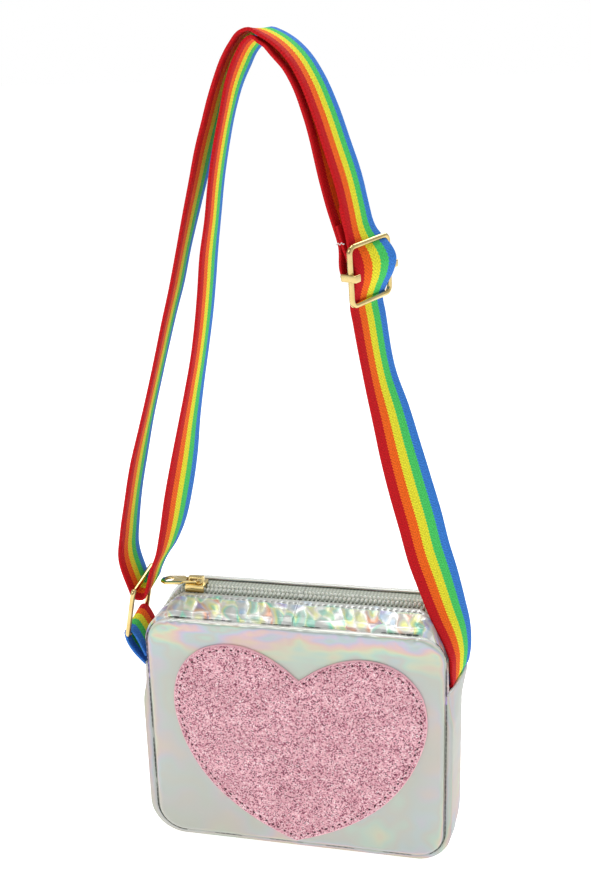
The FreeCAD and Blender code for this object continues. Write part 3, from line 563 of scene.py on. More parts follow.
def side_band():
    """The vinyl band round the sides and the bottom."""
    def place(along, across):
        distance = (2 * along - 1) * BOTTOM_REACH
        point, out, turned = on_seam(distance, False)
        y = SEAM_HALF * (1 - 2 * across)
        inset = SEAM_HALF - abs(y)
        proud = GUSSET_PROUD + (LEFT_FULLER * turned if point.x < 0 else 0.0)
        height = (proud + BAND_EDGE) * roll(inset, BAND_ROLL) - BAND_EDGE
        height += GUSSET_CROWN * turned * (1 - (y / SEAM_HALF) ** 2)
        flare = ease((point.z - BAND_TOP + LIP_LENGTH) / LIP_LENGTH)
        lip = (lip_out(point.x, y) + BAND_EDGE) * roll(inset, BAND_ROLL) - BAND_EDGE
        height += (lip - height) * flare
        point.z += flare * (LIP_LIFT + LIP_RISE * (y / SEAM_HALF) ** 2)
        corner = math.sin(math.pi * turned)
        gather = ridge(distance / (6 * MM), y / (16 * MM), 5.2)
        height += (0.12 + 0.3 * corner) * MM * turned * gather * ease(inset / (3 * MM))
        return point + out * height + DEPTHWAYS * y

    shape = sheet_shape(260, 40, 2 * BOTTOM_REACH, 2 * SEAM_HALF, place)
    piece_from(shape, "side_band", BAND_VINYL, ["lower_gusset"], VINYL_WALL, body="bag")


def lining_band():
    half_width = LINING_DEPTH - LINING_INSET

    def place(along, across):
        distance = (2 * along - 1) * LINING_REACH
        point, out, turned = on_seam(distance, False)
        y = half_width * (1 - 2 * across)
        wave = 0.2 * MM * waver(distance / BAND_WAVE, y / BAND_WAVE, 0.0)
        return point + out * (wave - LINING_INSET) + DEPTHWAYS * y

    shape = sheet_shape(120, 12, 2 * BOTTOM_REACH, 2 * half_width, place)
    piece_from(shape, "lining_band", LINING_CLOTH, ["lining_gusset"], LINING_WALL, body="bag")


# The zip and the gathered vinyl strips beside it. Each runs from the middle of the top to one side joint.

STITCH = 3 * MM
STITCH_INSET = 3.8 * MM
STITCH_LIFT = {-1: 0.1 * MM, 1: -0.2 * MM}
STITCH_SIZES = (1.05 * MM, 0.3 * MM, 0.28 * MM)
MARGIN = 4.4 * MM
EDGE_SINK = 0.9 * MM
CORNER_CUT = 4.5 * MM
ROLL_RISE = 1.2 * MM
FACET_LENGTH = 6.5 * MM
FACET_WIDTH = 15 * MM
FACET_SLANT = 0.35
BACK_WAVE = 24 * MM
TOOTH_PITCH = 2.2 * MM
TOOTH_SLANT = math.radians(32)
TOOTH_SIZES = (0.8 * MM, COIL_WIDTH * 0.52, COIL_HEIGHT * 0.5)
SEWING_SIZES = (0.75 * MM, 0.5 * MM, 0.25 * MM)
# How far short of its strip each half of the chain ends; the right half ends under the strap
CHAIN_SHORT = {-1: 4 * MM, 1: 28 * MM}
SIDE_WORD = {-1: "front", 1: "back"}
HALF_WORD = {-1: "left", 1: "right"}


def roof_rise(distance, turned):
    """Height of the zip above the seam line: it cuts the corners and lies flat where the strap is sewn in."""
    down = abs(distance) - STRAIGHT - ARC
    rise = ROOF_RISE + (SIDE_RISE - ROOF_RISE) * turned - CORNER_CUT * math.sin(math.pi * turned)
    return rise - (SIDE_RISE - 1 * MM) * ease(down / SIDE_RUN) - 3 * MM * ease((down - SIDE_RUN) / STRIP_TUCK)


def facet(distance, from_seam):
    """Crumpled film: how far a place lies inside its facet, the facet's number and the way to its edge."""
    wander = 2.5 * MM * waver(distance / (9 * MM), from_seam / (7 * MM), 1.3)
    along = (distance + FACET_SLANT * from_seam + wander) / FACET_LENGTH
    spans, centres = noise.voronoi(Vector((along, (from_seam + wander) / FACET_WIDTH, 4.7)))
    return spans[0], noise.cell(centres[0] * 9.1), spans[1] - spans[0]


def fold(distance, from_seam):
    """A long wandering fold of the film above the seam, from 0 to 1."""
    line = (3.2 + 2.0 * waver(distance / (13 * MM), 0.4, 2.8)) * MM
    return hill(from_seam - line, 0.5 * MM)


def strip_point(distance, across, side):
    """A point of the strip beside the zip and the way out: across runs from the panel's seam to the zip."""
    point, out, turned = on_seam(distance, True)
    width = SEAM_HALF - STRIP_EDGE[side]
    from_seam = across * width
    from_zip = width - from_seam
    height = (BAND_EDGE + ROLL_RISE) * roll(from_seam, 3 * MM) - BAND_EDGE
    height += (roof_rise(distance, turned) - ROLL_RISE) * across
    height += (1.1 if turned < 1 else 0.5) * MM * math.sin(math.pi * across)
    height -= STRIP_WALL * 0.7 * (1 - roll(from_zip, 1.2 * MM))
    if side < 0:
        inside, number = facet(distance, from_seam)[:2]
        crumple = inside + 0.3 * number + 0.08 * ridge(distance / (4 * MM), from_seam / (6 * MM), 8.4)
        gathered = math.sin(math.pi * min(1.0, across * 1.05)) ** 0.6 * ease((from_zip - 2 * MM) / MARGIN)
        height -= (1.1 - 0.8 * turned) * MM * crumple * gathered
        height += 0.4 * MM * (1 - turned) * fold(distance, from_seam) - EDGE_SINK * across * across
    else:
        height += 0.3 * MM * waver(distance / BACK_WAVE, from_seam / BACK_WAVE, 2.0 / BACK_WAVE)
    dimple = math.cos(math.tau * distance / STITCH) * hill(from_zip - STITCH_INSET, 1.2 * MM)
    height += 0.16 * MM * dimple
    return under_strap(point + out * height + DEPTHWAYS * (side * (SEAM_HALF - from_seam))), out


def half_run(share, half):
    """Distance along the top for a share of one half, always rising with +X."""
    return (share if half > 0 else share - 1) * TOP_REACH


def zip_piece(shape, kind, side, half, material, wall=0.0, sewing=False):
    """A piece of one half of a side of the zip, from the middle of the top, past the mouth's end, to that
    side.
    """
    word = SIDE_WORD[side]
    nodes = () if sewing else (f"zip_{kind}_{word}", f"zip_{kind}_ends")
    piece = piece_from(shape, f"{kind}_{word}_{HALF_WORD[half]}", material, nodes, wall)
    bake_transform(piece)


def strip(side, half):
    width = SEAM_HALF - STRIP_EDGE[side]

    def place(along, across):
        return strip_point(half_run(along, half), across if side < 0 else 1 - across, side)[0]

    shape = sheet_shape(190, 36, TOP_REACH, width, place)
    if side < 0:
        paint_facets(shape, half, width)
    zip_piece(shape, "strip", side, half, STRIP_VINYL if side < 0 else PANEL_VINYL, FILM_WALL)


def paint_facets(shape, half, width):
    """Gives each facet its place in the foil's colours, the ends down the bag's sides a painted shade, and
    the creases their painted white highlight.
    """
    foil = shape.verts.layers.float.new("foil")
    crease_highlight = shape.verts.layers.float.new("crease_highlight")
    flat = shape.loops.layers.uv["flat"]
    for vert in shape.verts:
        across, along = vert.link_loops[0][flat].uv
        distance = half_run(along / TOP_REACH, half)
        inside, number, border = facet(distance, across)
        top = 1 - ease((abs(distance) - STRAIGHT - 0.5 * ARC) / (8 * MM))
        facets = top * ease((width - across - MARGIN) / MM)
        # Painted shade: off the top, down the bag's sides, every vertex gets the same low hue, round the
        # foil's darker mauve-grey.
        vert[foil] = 0.2 + 0.4 * top + facets * (0.5 * number + 0.45 * inside - 0.1)
        # Painted highlight: patches along the strip where the creases and the fold are painted white.
        highlit = ease(0.6 + 1.2 * waver(distance / (8 * MM), across / (6 * MM), 6.2))
        vert[crease_highlight] = 0.95 * top * highlit * max(facets * hill(border, 0.09), fold(distance, across))


def tape(side, half):
    edge = STRIP_EDGE[side]
    inner, outer = CHAIN_SLOT / 2, edge + 4 * MM

    def place(along, across):
        distance = half_run(along, half)
        point, out, turned = on_seam(distance, True)
        y = inner + (outer - inner) * (across if side > 0 else 1 - across)
        height = roof_rise(distance, turned) - STRIP_WALL - 0.25 * max(0.0, y - edge)
        return under_strap(point + out * height + DEPTHWAYS * (side * y))

    shape = sheet_shape(120, 12, TOP_REACH, outer - inner, place)
    zip_piece(shape, "tape", side, half, TAPE_CLOTH, TAPE_WALL)


def coil(side, half):
    """One row of nylon teeth, slanted so that the two rows make a braid, and a row of dark beads beside it,
    partly the thread that sews it on and partly painted shadow in the gaps between the teeth.
    """
    teeth, thread = bmesh.new(), bmesh.new()
    for index in range(int((TOP_REACH - CHAIN_SHORT[half]) / TOOTH_PITCH)):
        distance = half * (index + 0.5 + 0.25 * side) * TOOTH_PITCH
        point, out, turned = on_seam(distance, True)
        onward = on_seam(distance + 0.5 * MM, True)[0] - on_seam(distance - 0.5 * MM, True)[0]
        rise = roof_rise(distance, turned) - STRIP_WALL
        lean = Matrix.Rotation(side * TOOTH_SLANT, 3, out) @ onward.normalized()
        centre = point + out * (rise + COIL_HEIGHT * 0.42)
        centre.y += side * (CHAIN_SLOT / 2 + COIL_WIDTH / 2)
        bead(teeth, under_strap(centre), lean, out, TOOTH_SIZES)
        # Painted shadow: dark beads between the teeth's outer ends, partly the sewing thread and partly the
        # shadow of the gaps.
        centre = point + out * (rise + 0.05 * MM)
        centre.y += side * (CHAIN_SLOT / 2 + COIL_WIDTH + 0.5 * MM)
        bead(thread, under_strap(centre), onward, out, SEWING_SIZES)
    zip_piece(teeth, "coil", side, half, COIL_NYLON)
    zip_piece(thread, "coil_sewing", side, half, THREAD_AND_SHADOW, sewing=True)


def strip_stitches(side, half):
    """Top stitching beside the zip. At the back it is drawn down into the film."""
    shape = bmesh.new()
    across = 1 - STITCH_INSET / (SEAM_HALF - STRIP_EDGE[side])
    for index in range(int((TOP_REACH - STITCH) / STITCH)):
        distance = half * (index + 0.5) * STITCH
        centre, out = strip_point(distance, across, side)
        onward = strip_point(distance + 0.4 * MM, across, side)[0] - centre
        bead(shape, centre + out * STITCH_LIFT[side], onward, out, STITCH_SIZES)
    zip_piece(shape, "strip_stitches", side, half, SILVER_THREAD, sewing=True)


def seam_thread_and_shadow(name, side):
    """A dark line of beads in the groove between a panel and the gusset: partly the sewing, partly painted
    shadow in the groove. It is thickest at the corners, most at both ends of the top seam, and breaks off
    here and there."""
    shape = bmesh.new()
    for top, reach in ((False, BOTTOM_REACH), (True, TOP_REACH - STRIP_TUCK)):
        for index in range(int(2 * reach / STITCH)):
            distance = (index + 0.5) * STITCH - reach
            point, out, turned = on_seam(distance, top)
            shown = waver(distance / (15 * MM), 5.0 if top else 9.0, side) + 0.5 * turned
            # Painted shadow: the line thickens into a dark slit at both ends of the top seam.
            hole = hill(abs(distance) - STRAIGHT + 2 * MM, 3 * MM) if top else 0.0
            if shown + hole < 0.0:
                continue
            onward = on_seam(distance + 0.4 * MM, top)[0] - point
            thick = (0.16 + 0.16 * min(shown, 1.0) + 0.3 * hole) * MM
            if not top and turned == 0:
                thick *= 0.6
            centre = point + out * 0.2 * MM + DEPTHWAYS * (side * (SEAM_DEPTH + 0.3 * MM))
            bead(shape, centre, onward, out, (1.8 * MM, thick, thick))
    piece_from(shape, name, THREAD_AND_SHADOW, body="bag")


# The heart. Half of its outline, from the notch to the tip, is a given list: shares of half the width
# and of the height.

HEART_HALF = [
    (0.0, 0.859), (0.135, 0.922), (0.306, 0.976), (0.560, 1.0), (0.790, 0.958), (0.940, 0.862),
    (1.0, 0.725), (0.935, 0.503), (0.714, 0.277), (0.380, 0.110), (0.115, 0.027), (0.0, 0.0),
]
HEART_WIDTH = 129.4 * MM
HEART_HEIGHT = 109 * MM
HEART_WALL = 1.6 * MM
HEART_LIFT = 2.8 * MM
HEART_ASIDE = -0.6 * MM
HEART_TILT = math.radians(2.3)
HEART_TIP = Vector((HEART_ASIDE, 0.0, SEAM_LOW + HEART_LIFT))
HEART_TURN = Matrix.Rotation(HEART_TILT, 3, "Y")
HEART_EYE = 0.56 * HEART_HEIGHT
HEART_BORDER = 8 * MM
HEART_RINGS = 34
INNER_RINGS = 0.75
HEART_STITCH = 4.0 * MM
HEART_STITCH_INSET = 2.9 * MM
HEART_STITCH_SIZES = (0.7 * MM, 0.5 * MM, 0.35 * MM)


def smooth_line(points, step):
    """Points on a smooth curve through points, about a step apart."""
    spans = [(b - a).length for a, b in zip(points, points[1:])]
    slopes = [(b - a) / span for a, b, span in zip(points, points[1:], spans)]
    pulls = [slopes[0]]
    for index in range(1, len(slopes)):
        before, after = spans[index - 1], spans[index]
        pulls.append((slopes[index - 1] * after + slopes[index] * before) / (before + after))
    pulls.append(slopes[-1])
    line = []
    for index, span in enumerate(spans):
        count = max(1, round(span / step))
        for tick in range(count):
            t = tick / count
            start, end = 2 * t ** 3 - 3 * t ** 2 + 1, 3 * t ** 2 - 2 * t ** 3
            leave, arrive = (t ** 3 - 2 * t ** 2 + t) * span, (t ** 3 - t ** 2) * span
            line.append(points[index] * start + points[index + 1] * end
                        + pulls[index] * leave + pulls[index + 1] * arrive)
    return line + [points[-1]]


def heart_outline():
    """Pairs of angle and radius round the heart's middle, from its notch to its tip on the right."""
    points = [Vector((x * HEART_WIDTH / 2, up * HEART_HEIGHT)) for x, up in HEART_HALF]
    line = smooth_line(points, 1 * MM)
    return [(math.atan2(p.x, p.y - HEART_EYE), math.hypot(p.x, p.y - HEART_EYE)) for p in line]


HEART_RADII = heart_outline()


def heart_radius(angle):
    """Radius at an angle from straight up, the same on both sides."""
    for (low, near), (high, far) in zip(HEART_RADII, HEART_RADII[1:]):
        if low <= angle <= high:
            return near + (far - near) * (angle - low) / max(high - low, 1e-9)
    return HEART_RADII[-1][1]


def heart_place(angle, radius, lift):
    """A point of the heart, lifted off the panel."""
    spot = Vector((radius * math.sin(angle), 0.0, HEART_EYE + radius * math.cos(angle)))
    place = HEART_TIP + HEART_TURN @ spot
    place.y = -FACE_DEPTH - panel_swell(place.x, place.z - PANEL_MIDDLE) - lift
    return place


def heart():
    """A thick sheet with a rounded cut edge, spun as a disc and drawn to the outline."""
    shape = bmesh.new()
    flat = shape.loops.layers.uv.new("edge")
    spoke = [shape.verts.new((0.0, 0.0, ring / HEART_RINGS)) for ring in range(HEART_RINGS + 1)]
    edges = [shape.edges.new(pair) for pair in zip(spoke, spoke[1:])]
    bmesh.ops.spin(shape, geom=spoke + edges, cent=(0, 0, 0), axis=(0, 1, 0), angle=math.tau, steps=240,
                   use_merge=True)
    bmesh.ops.remove_doubles(shape, verts=shape.verts, dist=1e-6)
    depths = {}
    for vert in shape.verts:
        angle, share = math.atan2(vert.co.x, vert.co.z), math.hypot(vert.co.x, vert.co.z)
        reach = heart_radius(abs(angle))
        inner = max(0.0, reach - HEART_BORDER)
        radius = share / INNER_RINGS * inner
        if share >= INNER_RINGS:
            radius = inner + (reach - inner) * (share - INNER_RINGS) / (1 - INNER_RINGS)
        distance = reach - radius
        lift = HEART_WALL - 0.5 * MM * (1 - roll(distance, 0.6 * MM))
        lift -= 0.3 * MM * hill(distance - HEART_STITCH_INSET, 0.9 * MM)
        vert.co = heart_place(angle, radius, lift)
        depths[vert] = distance
    for face in shape.faces:
        for loop in face.loops:
            loop[flat].uv = (depths[loop.vert], 0.0)
    rim = [edge for edge in shape.edges if edge.is_boundary]
    sides = bmesh.ops.extrude_edge_only(shape, edges=rim)["geom"]
    foot = [item for item in sides if isinstance(item, bmesh.types.BMVert)]
    bmesh.ops.translate(shape, vec=DEPTHWAYS * HEART_WALL, verts=foot)
    bmesh.ops.recalc_face_normals(shape, faces=shape.faces)
    piece_from(shape, "heart", GLITTER, ["heart_applique"], body="bag")


def heart_stitches():
    shape = bmesh.new()
    walked = 0.0
    spots = []
    for (low, near), (high, far) in zip(HEART_RADII, HEART_RADII[1:]):
        walked += math.hypot(far - near, near * (high - low))
        if walked > HEART_STITCH:
            walked -= HEART_STITCH
            spots.append(high)
    for half in (-1, 1):
        for angle in spots:
            centre, ahead = (
                heart_place(half * turn, heart_radius(turn) - HEART_STITCH_INSET, HEART_WALL - 0.2 * MM)
                for turn in (angle, angle + 0.01)
            )
            bead(shape, centre, ahead - centre, -DEPTHWAYS, HEART_STITCH_SIZES)
    piece_from(shape, "heart_stitches", ROSE_THREAD, body="bag")


# The strap's route: each point is a share of the way in from the side to the middle,
# a share of the strap's height above the bag, and the twist in degrees
RIGHT_RISE = [
    (0.2740, 0.1799, 48.0), (0.3349, 0.2446, 46.0), (0.3928, 0.3094, 41.0), (0.4470, 0.3741, 34.0),
    (0.501, 0.432, 26.0),
]
RUN_ENDS = [(0.501, 0.432, 26.0), (0.692, 0.763, 26.0)]
OVER_TOP = [
    (0.671, 0.764, 18.0), (0.735, 0.824, 17.0), (0.796, 0.878, 16.0), (0.861, 0.924, 14.0),
    (0.928, 0.957, 12.0), (1.000, 0.979, 10.0), (1.060, 0.991, 8.0), (1.112, 0.998, 7.0), (1.163, 1.000, 6.0),
]
OUTER_LEFT = [
    (0.789, 0.994, 5.0), (0.747, 0.980, 5.0), (0.701, 0.959, 5.0), (0.654, 0.930, 4.0),
    (0.614, 0.899, 4.0), (0.575, 0.863, 4.0), (0.533, 0.824, 4.0), (0.478, 0.766, 2.0),
    (0.422, 0.707, 0.0), (0.366, 0.646, -2.0), (0.313, 0.585, -2.0), (0.263, 0.536, -3.0),
    (0.201, 0.471, -4.0), (0.139, 0.406, -4.0), (0.073, 0.338, -3.0), (0.012, 0.270, 0.0),
    (-0.041, 0.200, 0.0), (-0.080, 0.137, 2.0), (-0.099, 0.086, 3.0),
]
INNER_LEFT = [
    (0.096, 0.068, 2.0), (0.145, 0.095, 6.0), (0.193, 0.135, 12.0), (0.249, 0.205, 16.0),
    (0.298, 0.273, 14.0), (0.342, 0.342, 8.0), (0.389, 0.409, 4.0), (0.435, 0.474, 2.0),
    (0.472, 0.537, 2.0), (0.495, 0.586, 2.0), (0.520, 0.647, 2.0), (0.554, 0.707, 0.0),
    (0.583, 0.766, 0.0), (0.622, 0.824, 0.0), (0.667, 0.878, 0.0), (0.713, 0.923, 3.0),
    (0.752, 0.949, 5.0), (0.788, 0.969, 5.0), (0.820, 0.981, 6.0), (0.851, 0.987, 6.0),
    (0.887, 0.987, 7.0), (0.933, 0.980, 8.0),
]
INNER_TOP = [
    (1.024, 0.967, 10.0), (0.959, 0.947, 12.0), (0.899, 0.919, 15.0), (0.839, 0.875, 18.0),
    (0.788, 0.822, 22.0),
]
SIDE_FOOT = PANEL_HALF + FOOT_OUT
RING_ACROSS = Vector((0.0, math.cos(RING_ROLL), math.sin(RING_ROLL)))
BEND_ROOM = WIRE / 2 + FIT_GAP + WEBBING_WALL / 2
WEBBING_STEP = 1.6 * MM
WEBBING_EDGE = 0.35 * MM


def route(points, half):
    """Places of the strap's middle, each with its twist."""
    return [
        (Vector((half * SIDE_FOOT * (1 - inward), 0.0, SEAM_TOP + STRAP_HEIGHT * up)), math.radians(twist))
        for inward, up, twist in points
    ]


def with_width(places):
    """Pairs of a place and the direction of the webbing's width, turned from +Y towards +X by the twist."""
    stations = []
    for index, (point, twist) in enumerate(places):
        before = places[max(index - 1, 0)][0]
        after = places[min(index + 1, len(places) - 1)][0]
        flat = DEPTHWAYS.cross((after - before).normalized())
        lean = max(-1.0, min(1.0, 3 * flat.x))
        stations.append((point, DEPTHWAYS * math.cos(twist) + flat * lean * math.sin(twist)))
    return stations


def upright(points, width=DEPTHWAYS):
    return [(point, width) for point in points]


def round_bar(centre, radius, angles, sag=0.0):
    """Places round a bar along Y, at angles in degrees from +X towards +Z, hanging lower by the sag."""
    turned = [Vector((math.cos(math.radians(a)), 0.0, math.sin(math.radians(a)))) for a in angles]
    return [centre + direction * radius + Vector((0.0, 0.0, direction.z * sag)) for direction in turned]


def webbing_piece(name, stations, *nodes, flip=False):
    """Webbing through stations; its stripes run red first from the front, or blue first where flipped."""
    joined = [Vector((*point, *(width * (WEBBING_WIDTH / 2)))) for point, width in stations]
    line = smooth_line(joined, WEBBING_STEP)
    middle = [Vector(spot[:3]) for spot in line]
    length = sum((b - a).length for a, b in zip(middle, middle[1:]))
    last = len(line) - 1

    def place(along, across):
        spot = line[round(along * last)]
        width = Vector(spot[3:6]).normalized()
        share = 1 - across if flip else across
        return Vector(spot[:3]) + width * ((share - 0.5) * WEBBING_WIDTH)

    shape = sheet_shape(last, 10, length, WEBBING_WIDTH, place)
    piece = piece_from(shape, name, WEBBING, wall=WEBBING_WALL - 0.1 * MM, offset=0.0)
    rounding = piece.modifiers.new("edge", "BEVEL")
    rounding.width = WEBBING_EDGE
    rounding.segments = 2
    rounding.limit_method = "ANGLE"
    rounding.angle_limit = math.radians(50)
    if nodes:
        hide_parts(*nodes)
    return piece


# Ring, adjuster and the webbing's bends round them

RUN_LOW, RUN_HIGH = (place for place, twist in route(RUN_ENDS, 1))
RUN_ALONG = (RUN_HIGH - RUN_LOW).normalized()
RUN_OUT = Vector((RUN_ALONG.z, 0.0, -RUN_ALONG.x)) * math.cos(RUN_TWIST) - DEPTHWAYS * math.sin(RUN_TWIST)
RUN_ACROSS = RUN_ALONG.cross(RUN_OUT)
ADJUSTER_CENTRE = RUN_HIGH - RUN_ALONG * (ADJUSTER_DROP / RUN_ALONG.z)
LEG_OUT = WIRE / 2 + FIT_GAP / 2 + WEBBING_WALL / 2
BAR_IN = WEBBING_WALL + FIT_GAP + LEG_OUT
LOOP_OUT = 4.4 * MM
LOOP_DROP = 0.7 * MM
BAR_OUT = LOOP_OUT - BAR_IN
FRAME_OUT = BEND_ROOM + ADJUSTER_PROUD
RAIL_HALF = WEBBING_WIDTH / 2 + WEBBING_ROOM + SLEEVE / 2
CLIP_OUT = 8.6 * MM
CLIP_HEIGHT = 3.6 * MM
CLIP_EDGE = 0.6 * MM
STOPS_INWARD = 2.4 * MM
TACK_SIZES = (0.65 * MM, 0.35 * MM, 0.4 * MM)
# The webbing bows out where the adjuster holds it: distance along, distance out and the twist in degrees
RUN_BOW = [
    (-24 * MM, -0.2 * MM, 26.0), (-15 * MM, 0.0, 26.0), (-9 * MM, 2.3 * MM, 26.0), (0.0, 4.2 * MM, 26.0),
    (9 * MM, 4.0 * MM, 23.0), (18 * MM, 3.3 * MM, 20.0), (29 * MM, 2.9 * MM, 18.0),
]
# The bulge over the adjuster's bar, in millimetres along and out, with its own twist in degrees
BULGE = [
    (-17, -0.3, 0), (-14.7, 0.6, 0), (-10, 3.1, 4), (-4, 6.9, 10), (2.5, 8.8, 14), (7.5, 7.6, 10),
    (11.9, 5.2, 3), (16, 3.9, -4), (21, 3.0, -6), (26, 2.5, -7), (30, 2.1, -8),
]


def ring_place(along):
    """A place on the ring's middle line, along from its lower bar."""
    foot = Vector((-PANEL_HALF - RING_OUT, 0.0, JOINT_HEIGHT + RING_LIFT))
    return foot + Vector((math.sin(RING_LEAN), 0.0, math.cos(RING_LEAN))) * along


def by_adjuster(out, along):
    """A place beside the adjuster, with the webbing's width along its bar."""
    return ADJUSTER_CENTRE + RUN_OUT * out + RUN_ALONG * along, RUN_ACROSS


def adjuster_matrix(out, along):
    """Sets a piece's X, Y and Z out of, across and along the webbing, pitched about the adjuster's bar."""
    turn = Matrix((RUN_OUT, RUN_ACROSS, RUN_ALONG)).transposed().to_4x4()
    bar = Vector((-BAR_IN, 0.0, 0.0))
    pitch = Matrix.Rotation(ADJUSTER_PITCH, 4, "Y")
    about_bar = Matrix.Translation(bar) @ pitch @ Matrix.Translation(-bar)
    return Matrix.Translation(ADJUSTER_CENTRE) @ turn @ about_bar @ Matrix.Translation((out, 0.0, along))


def wire_loop(name, half_width, height, corner, matrix, node, body):
    """A closed wire: a round section carried along four straight bars and four bends."""
    shape = bmesh.new()
    bmesh.ops.create_circle(shape, segments=16, radius=WIRE / 2, matrix=Matrix.Rotation(math.pi / 2, 4, "X"))
    edges = list(shape.edges)

    def carried(**path):
        spun = bmesh.ops.spin(shape, geom=edges, axis=(1, 0, 0), **path)
        return [item for item in spun["geom_last"] if isinstance(item, bmesh.types.BMEdge)]

    spot, heading = Vector((0.0, 0.0, 0.0)), DEPTHWAYS.copy()
    quarter = Matrix.Rotation(math.pi / 2, 3, "X")
    for length in (half_width - corner, height - 2 * corner, 2 * (half_width - corner), height - 2 * corner):
        edges = carried(dvec=heading * length, angle=0.0, steps=1)
        spot += heading * length
        turned = quarter @ heading
        edges = carried(cent=spot + turned * corner, angle=math.pi / 2, steps=8)
        spot += (heading + turned) * corner
        heading = turned
    carried(dvec=heading * (half_width - corner), angle=0.0, steps=1)
    bmesh.ops.remove_doubles(shape, verts=shape.verts, dist=0.01 * MM)
    bmesh.ops.recalc_face_normals(shape, faces=shape.faces)
    bmesh.ops.transform(shape, matrix=matrix, verts=shape.verts)
    piece_from(shape, name, GOLD, [node], body=body)


def bevelled_copy(name, node, body, inward=0.0):
    """A metal piece with its sharp edges broken; inward moves each half's part towards the bag's middle."""
    shape = bmesh.new()
    shape.from_mesh(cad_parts[node].data)
    bmesh.ops.remove_doubles(shape, verts=shape.verts, dist=0.001 * MM)
    bmesh.ops.dissolve_limit(shape, angle_limit=math.radians(3), verts=shape.verts, edges=shape.edges)
    sharp = [edge for edge in shape.edges if edge.is_manifold and edge.calc_face_angle() > math.radians(40)]
    bmesh.ops.bevel(shape, geom=sharp, offset=METAL_EDGE, segments=2, profile=0.5, affect="EDGES",
                    material=-1, clamp_overlap=True)
    if inward:
        for vert in shape.verts:
            vert.co.x -= math.copysign(inward, vert.co.x)
    piece_from(shape, name, GOLD, [node], body=body)


def adjuster_crossbar():
    """The bar behind the webbing, with flat ends folded round the frame's rails."""
    shape = bmesh.new()
    along_bar = Matrix.Translation((BAR_OUT, 0.0, 0.0)) @ Matrix.Rotation(math.pi / 2, 4, "X")
    bmesh.ops.create_cone(shape, cap_ends=True, segments=16, radius1=WIRE / 2, radius2=WIRE / 2,
                          depth=2 * RAIL_HALF, matrix=along_bar)
    for side in (-1, 1):
        size = Matrix.Diagonal((CLIP_OUT, SLEEVE, CLIP_HEIGHT, 1.0))
        place = Matrix.Translation((FRAME_OUT, side * RAIL_HALF, 0.0))
        clip = bmesh.ops.create_cube(shape, size=1.0, matrix=place @ size)
        edges = {edge for vert in clip["verts"] for edge in vert.link_edges}
        bmesh.ops.bevel(shape, geom=list(edges), offset=CLIP_EDGE, segments=3, profile=0.5, affect="EDGES",
                        material=-1)
    bmesh.ops.transform(shape, matrix=adjuster_matrix(0.0, 0.0), verts=shape.verts)
    piece_from(shape, "adjuster_crossbar", GOLD, ["adjuster_bar"], body="adjuster")


def hardware():
    ring_half = WEBBING_WIDTH / 2 + WEBBING_ROOM + WIRE / 2
    turn = Matrix.Rotation(RING_LEAN, 4, "Y") @ Matrix.Rotation(RING_ROLL, 4, "X")
    ring_matrix = Matrix.Translation(ring_place(0)) @ turn
    wire_loop("ring", ring_half, RING_HEIGHT, RING_CORNER, ring_matrix, "strap_ring", "ring")
    frame_matrix = adjuster_matrix(FRAME_OUT, -ADJUSTER_HEIGHT / 2)
    wire_loop("adjuster_loop", RAIL_HALF, ADJUSTER_HEIGHT, ADJUSTER_CORNER, frame_matrix, "adjuster_frame",
              "adjuster_frame")
    adjuster_crossbar()
    bevelled_copy("slider", "zip_slider", "slider")
    bevelled_copy("pull", "zip_pull", "pull")
    bevelled_copy("stops", "zip_stops", "bag", STOPS_INWARD)


def ring_bend():
    """Places round the ring's upper bar, down its left and up its right."""
    bar = ring_place(RING_HEIGHT)
    play = Vector((RING_PLAY, 0.0, 0.0))
    left = round_bar(bar - play, BEND_ROOM, (205, 235, 270), RING_SAG)
    right = round_bar(bar + play, BEND_ROOM, (270, 300, 330), RING_SAG)
    return left, right


def outer_strand():
    """From the right side joint through the adjuster, over the top and down to the ring."""
    root = [
        (Vector((PANEL_HALF + out, 0.0, JOINT_HEIGHT + up)), math.radians(twist))
        for out, up, twist in ROOT_RISE
    ]
    bow = [(by_adjuster(out, along)[0], math.radians(twist)) for along, out, twist in RUN_BOW]
    middle = with_width(root + route(RIGHT_RISE, 1) + bow + route(OVER_TOP, 1) + route(OUTER_LEFT, -1))
    left = upright(ring_bend()[0], RING_ACROSS)
    piece = webbing_piece("strap_outer_web", middle + left, "strap_root", "strap_outer")
    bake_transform(piece)


def inner_strand():
    """From the ring up to the top, then down to the adjuster, round its bar and sewn back on itself."""
    left, right = ring_bend()
    rise = with_width(route(INNER_LEFT, -1) + route(INNER_TOP[:1], 1))
    piece = webbing_piece("strap_inner_web", upright(left[-1:] + right, RING_ACROSS) + rise, "strap_inner")
    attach(piece, "strap")
    down = with_width(route(INNER_LEFT[-1:], -1) + route(INNER_TOP, 1))
    loop = [by_adjuster(-BAR_IN, ADJUSTER_DROP), by_adjuster(BAR_OUT - 3.3 * MM, 29 * MM)]
    loop += [by_adjuster(BAR_OUT - 2.1 * MM, END_LOOP), by_adjuster(BAR_OUT - 0.85 * MM, 0.6 * END_LOOP)]
    for angle in (180, 225, 270, 315, 360):
        turn = math.radians(angle)
        loop.append(by_adjuster(BAR_OUT + LEG_OUT * math.cos(turn), LEG_OUT * math.sin(turn) - LOOP_DROP))
    for out, share in ((0.85 * MM, 0.6), (0.2 * MM, 0.8), (-0.45 * MM, 1.0)):
        loop.append(by_adjuster(BAR_OUT + out, share * END_LOOP))
    piece = webbing_piece("strap_end", down[:-1] + loop, "strap_end_loop")
    low = by_adjuster(BAR_OUT, END_LOOP)[0]
    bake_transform(piece)
    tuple(low)


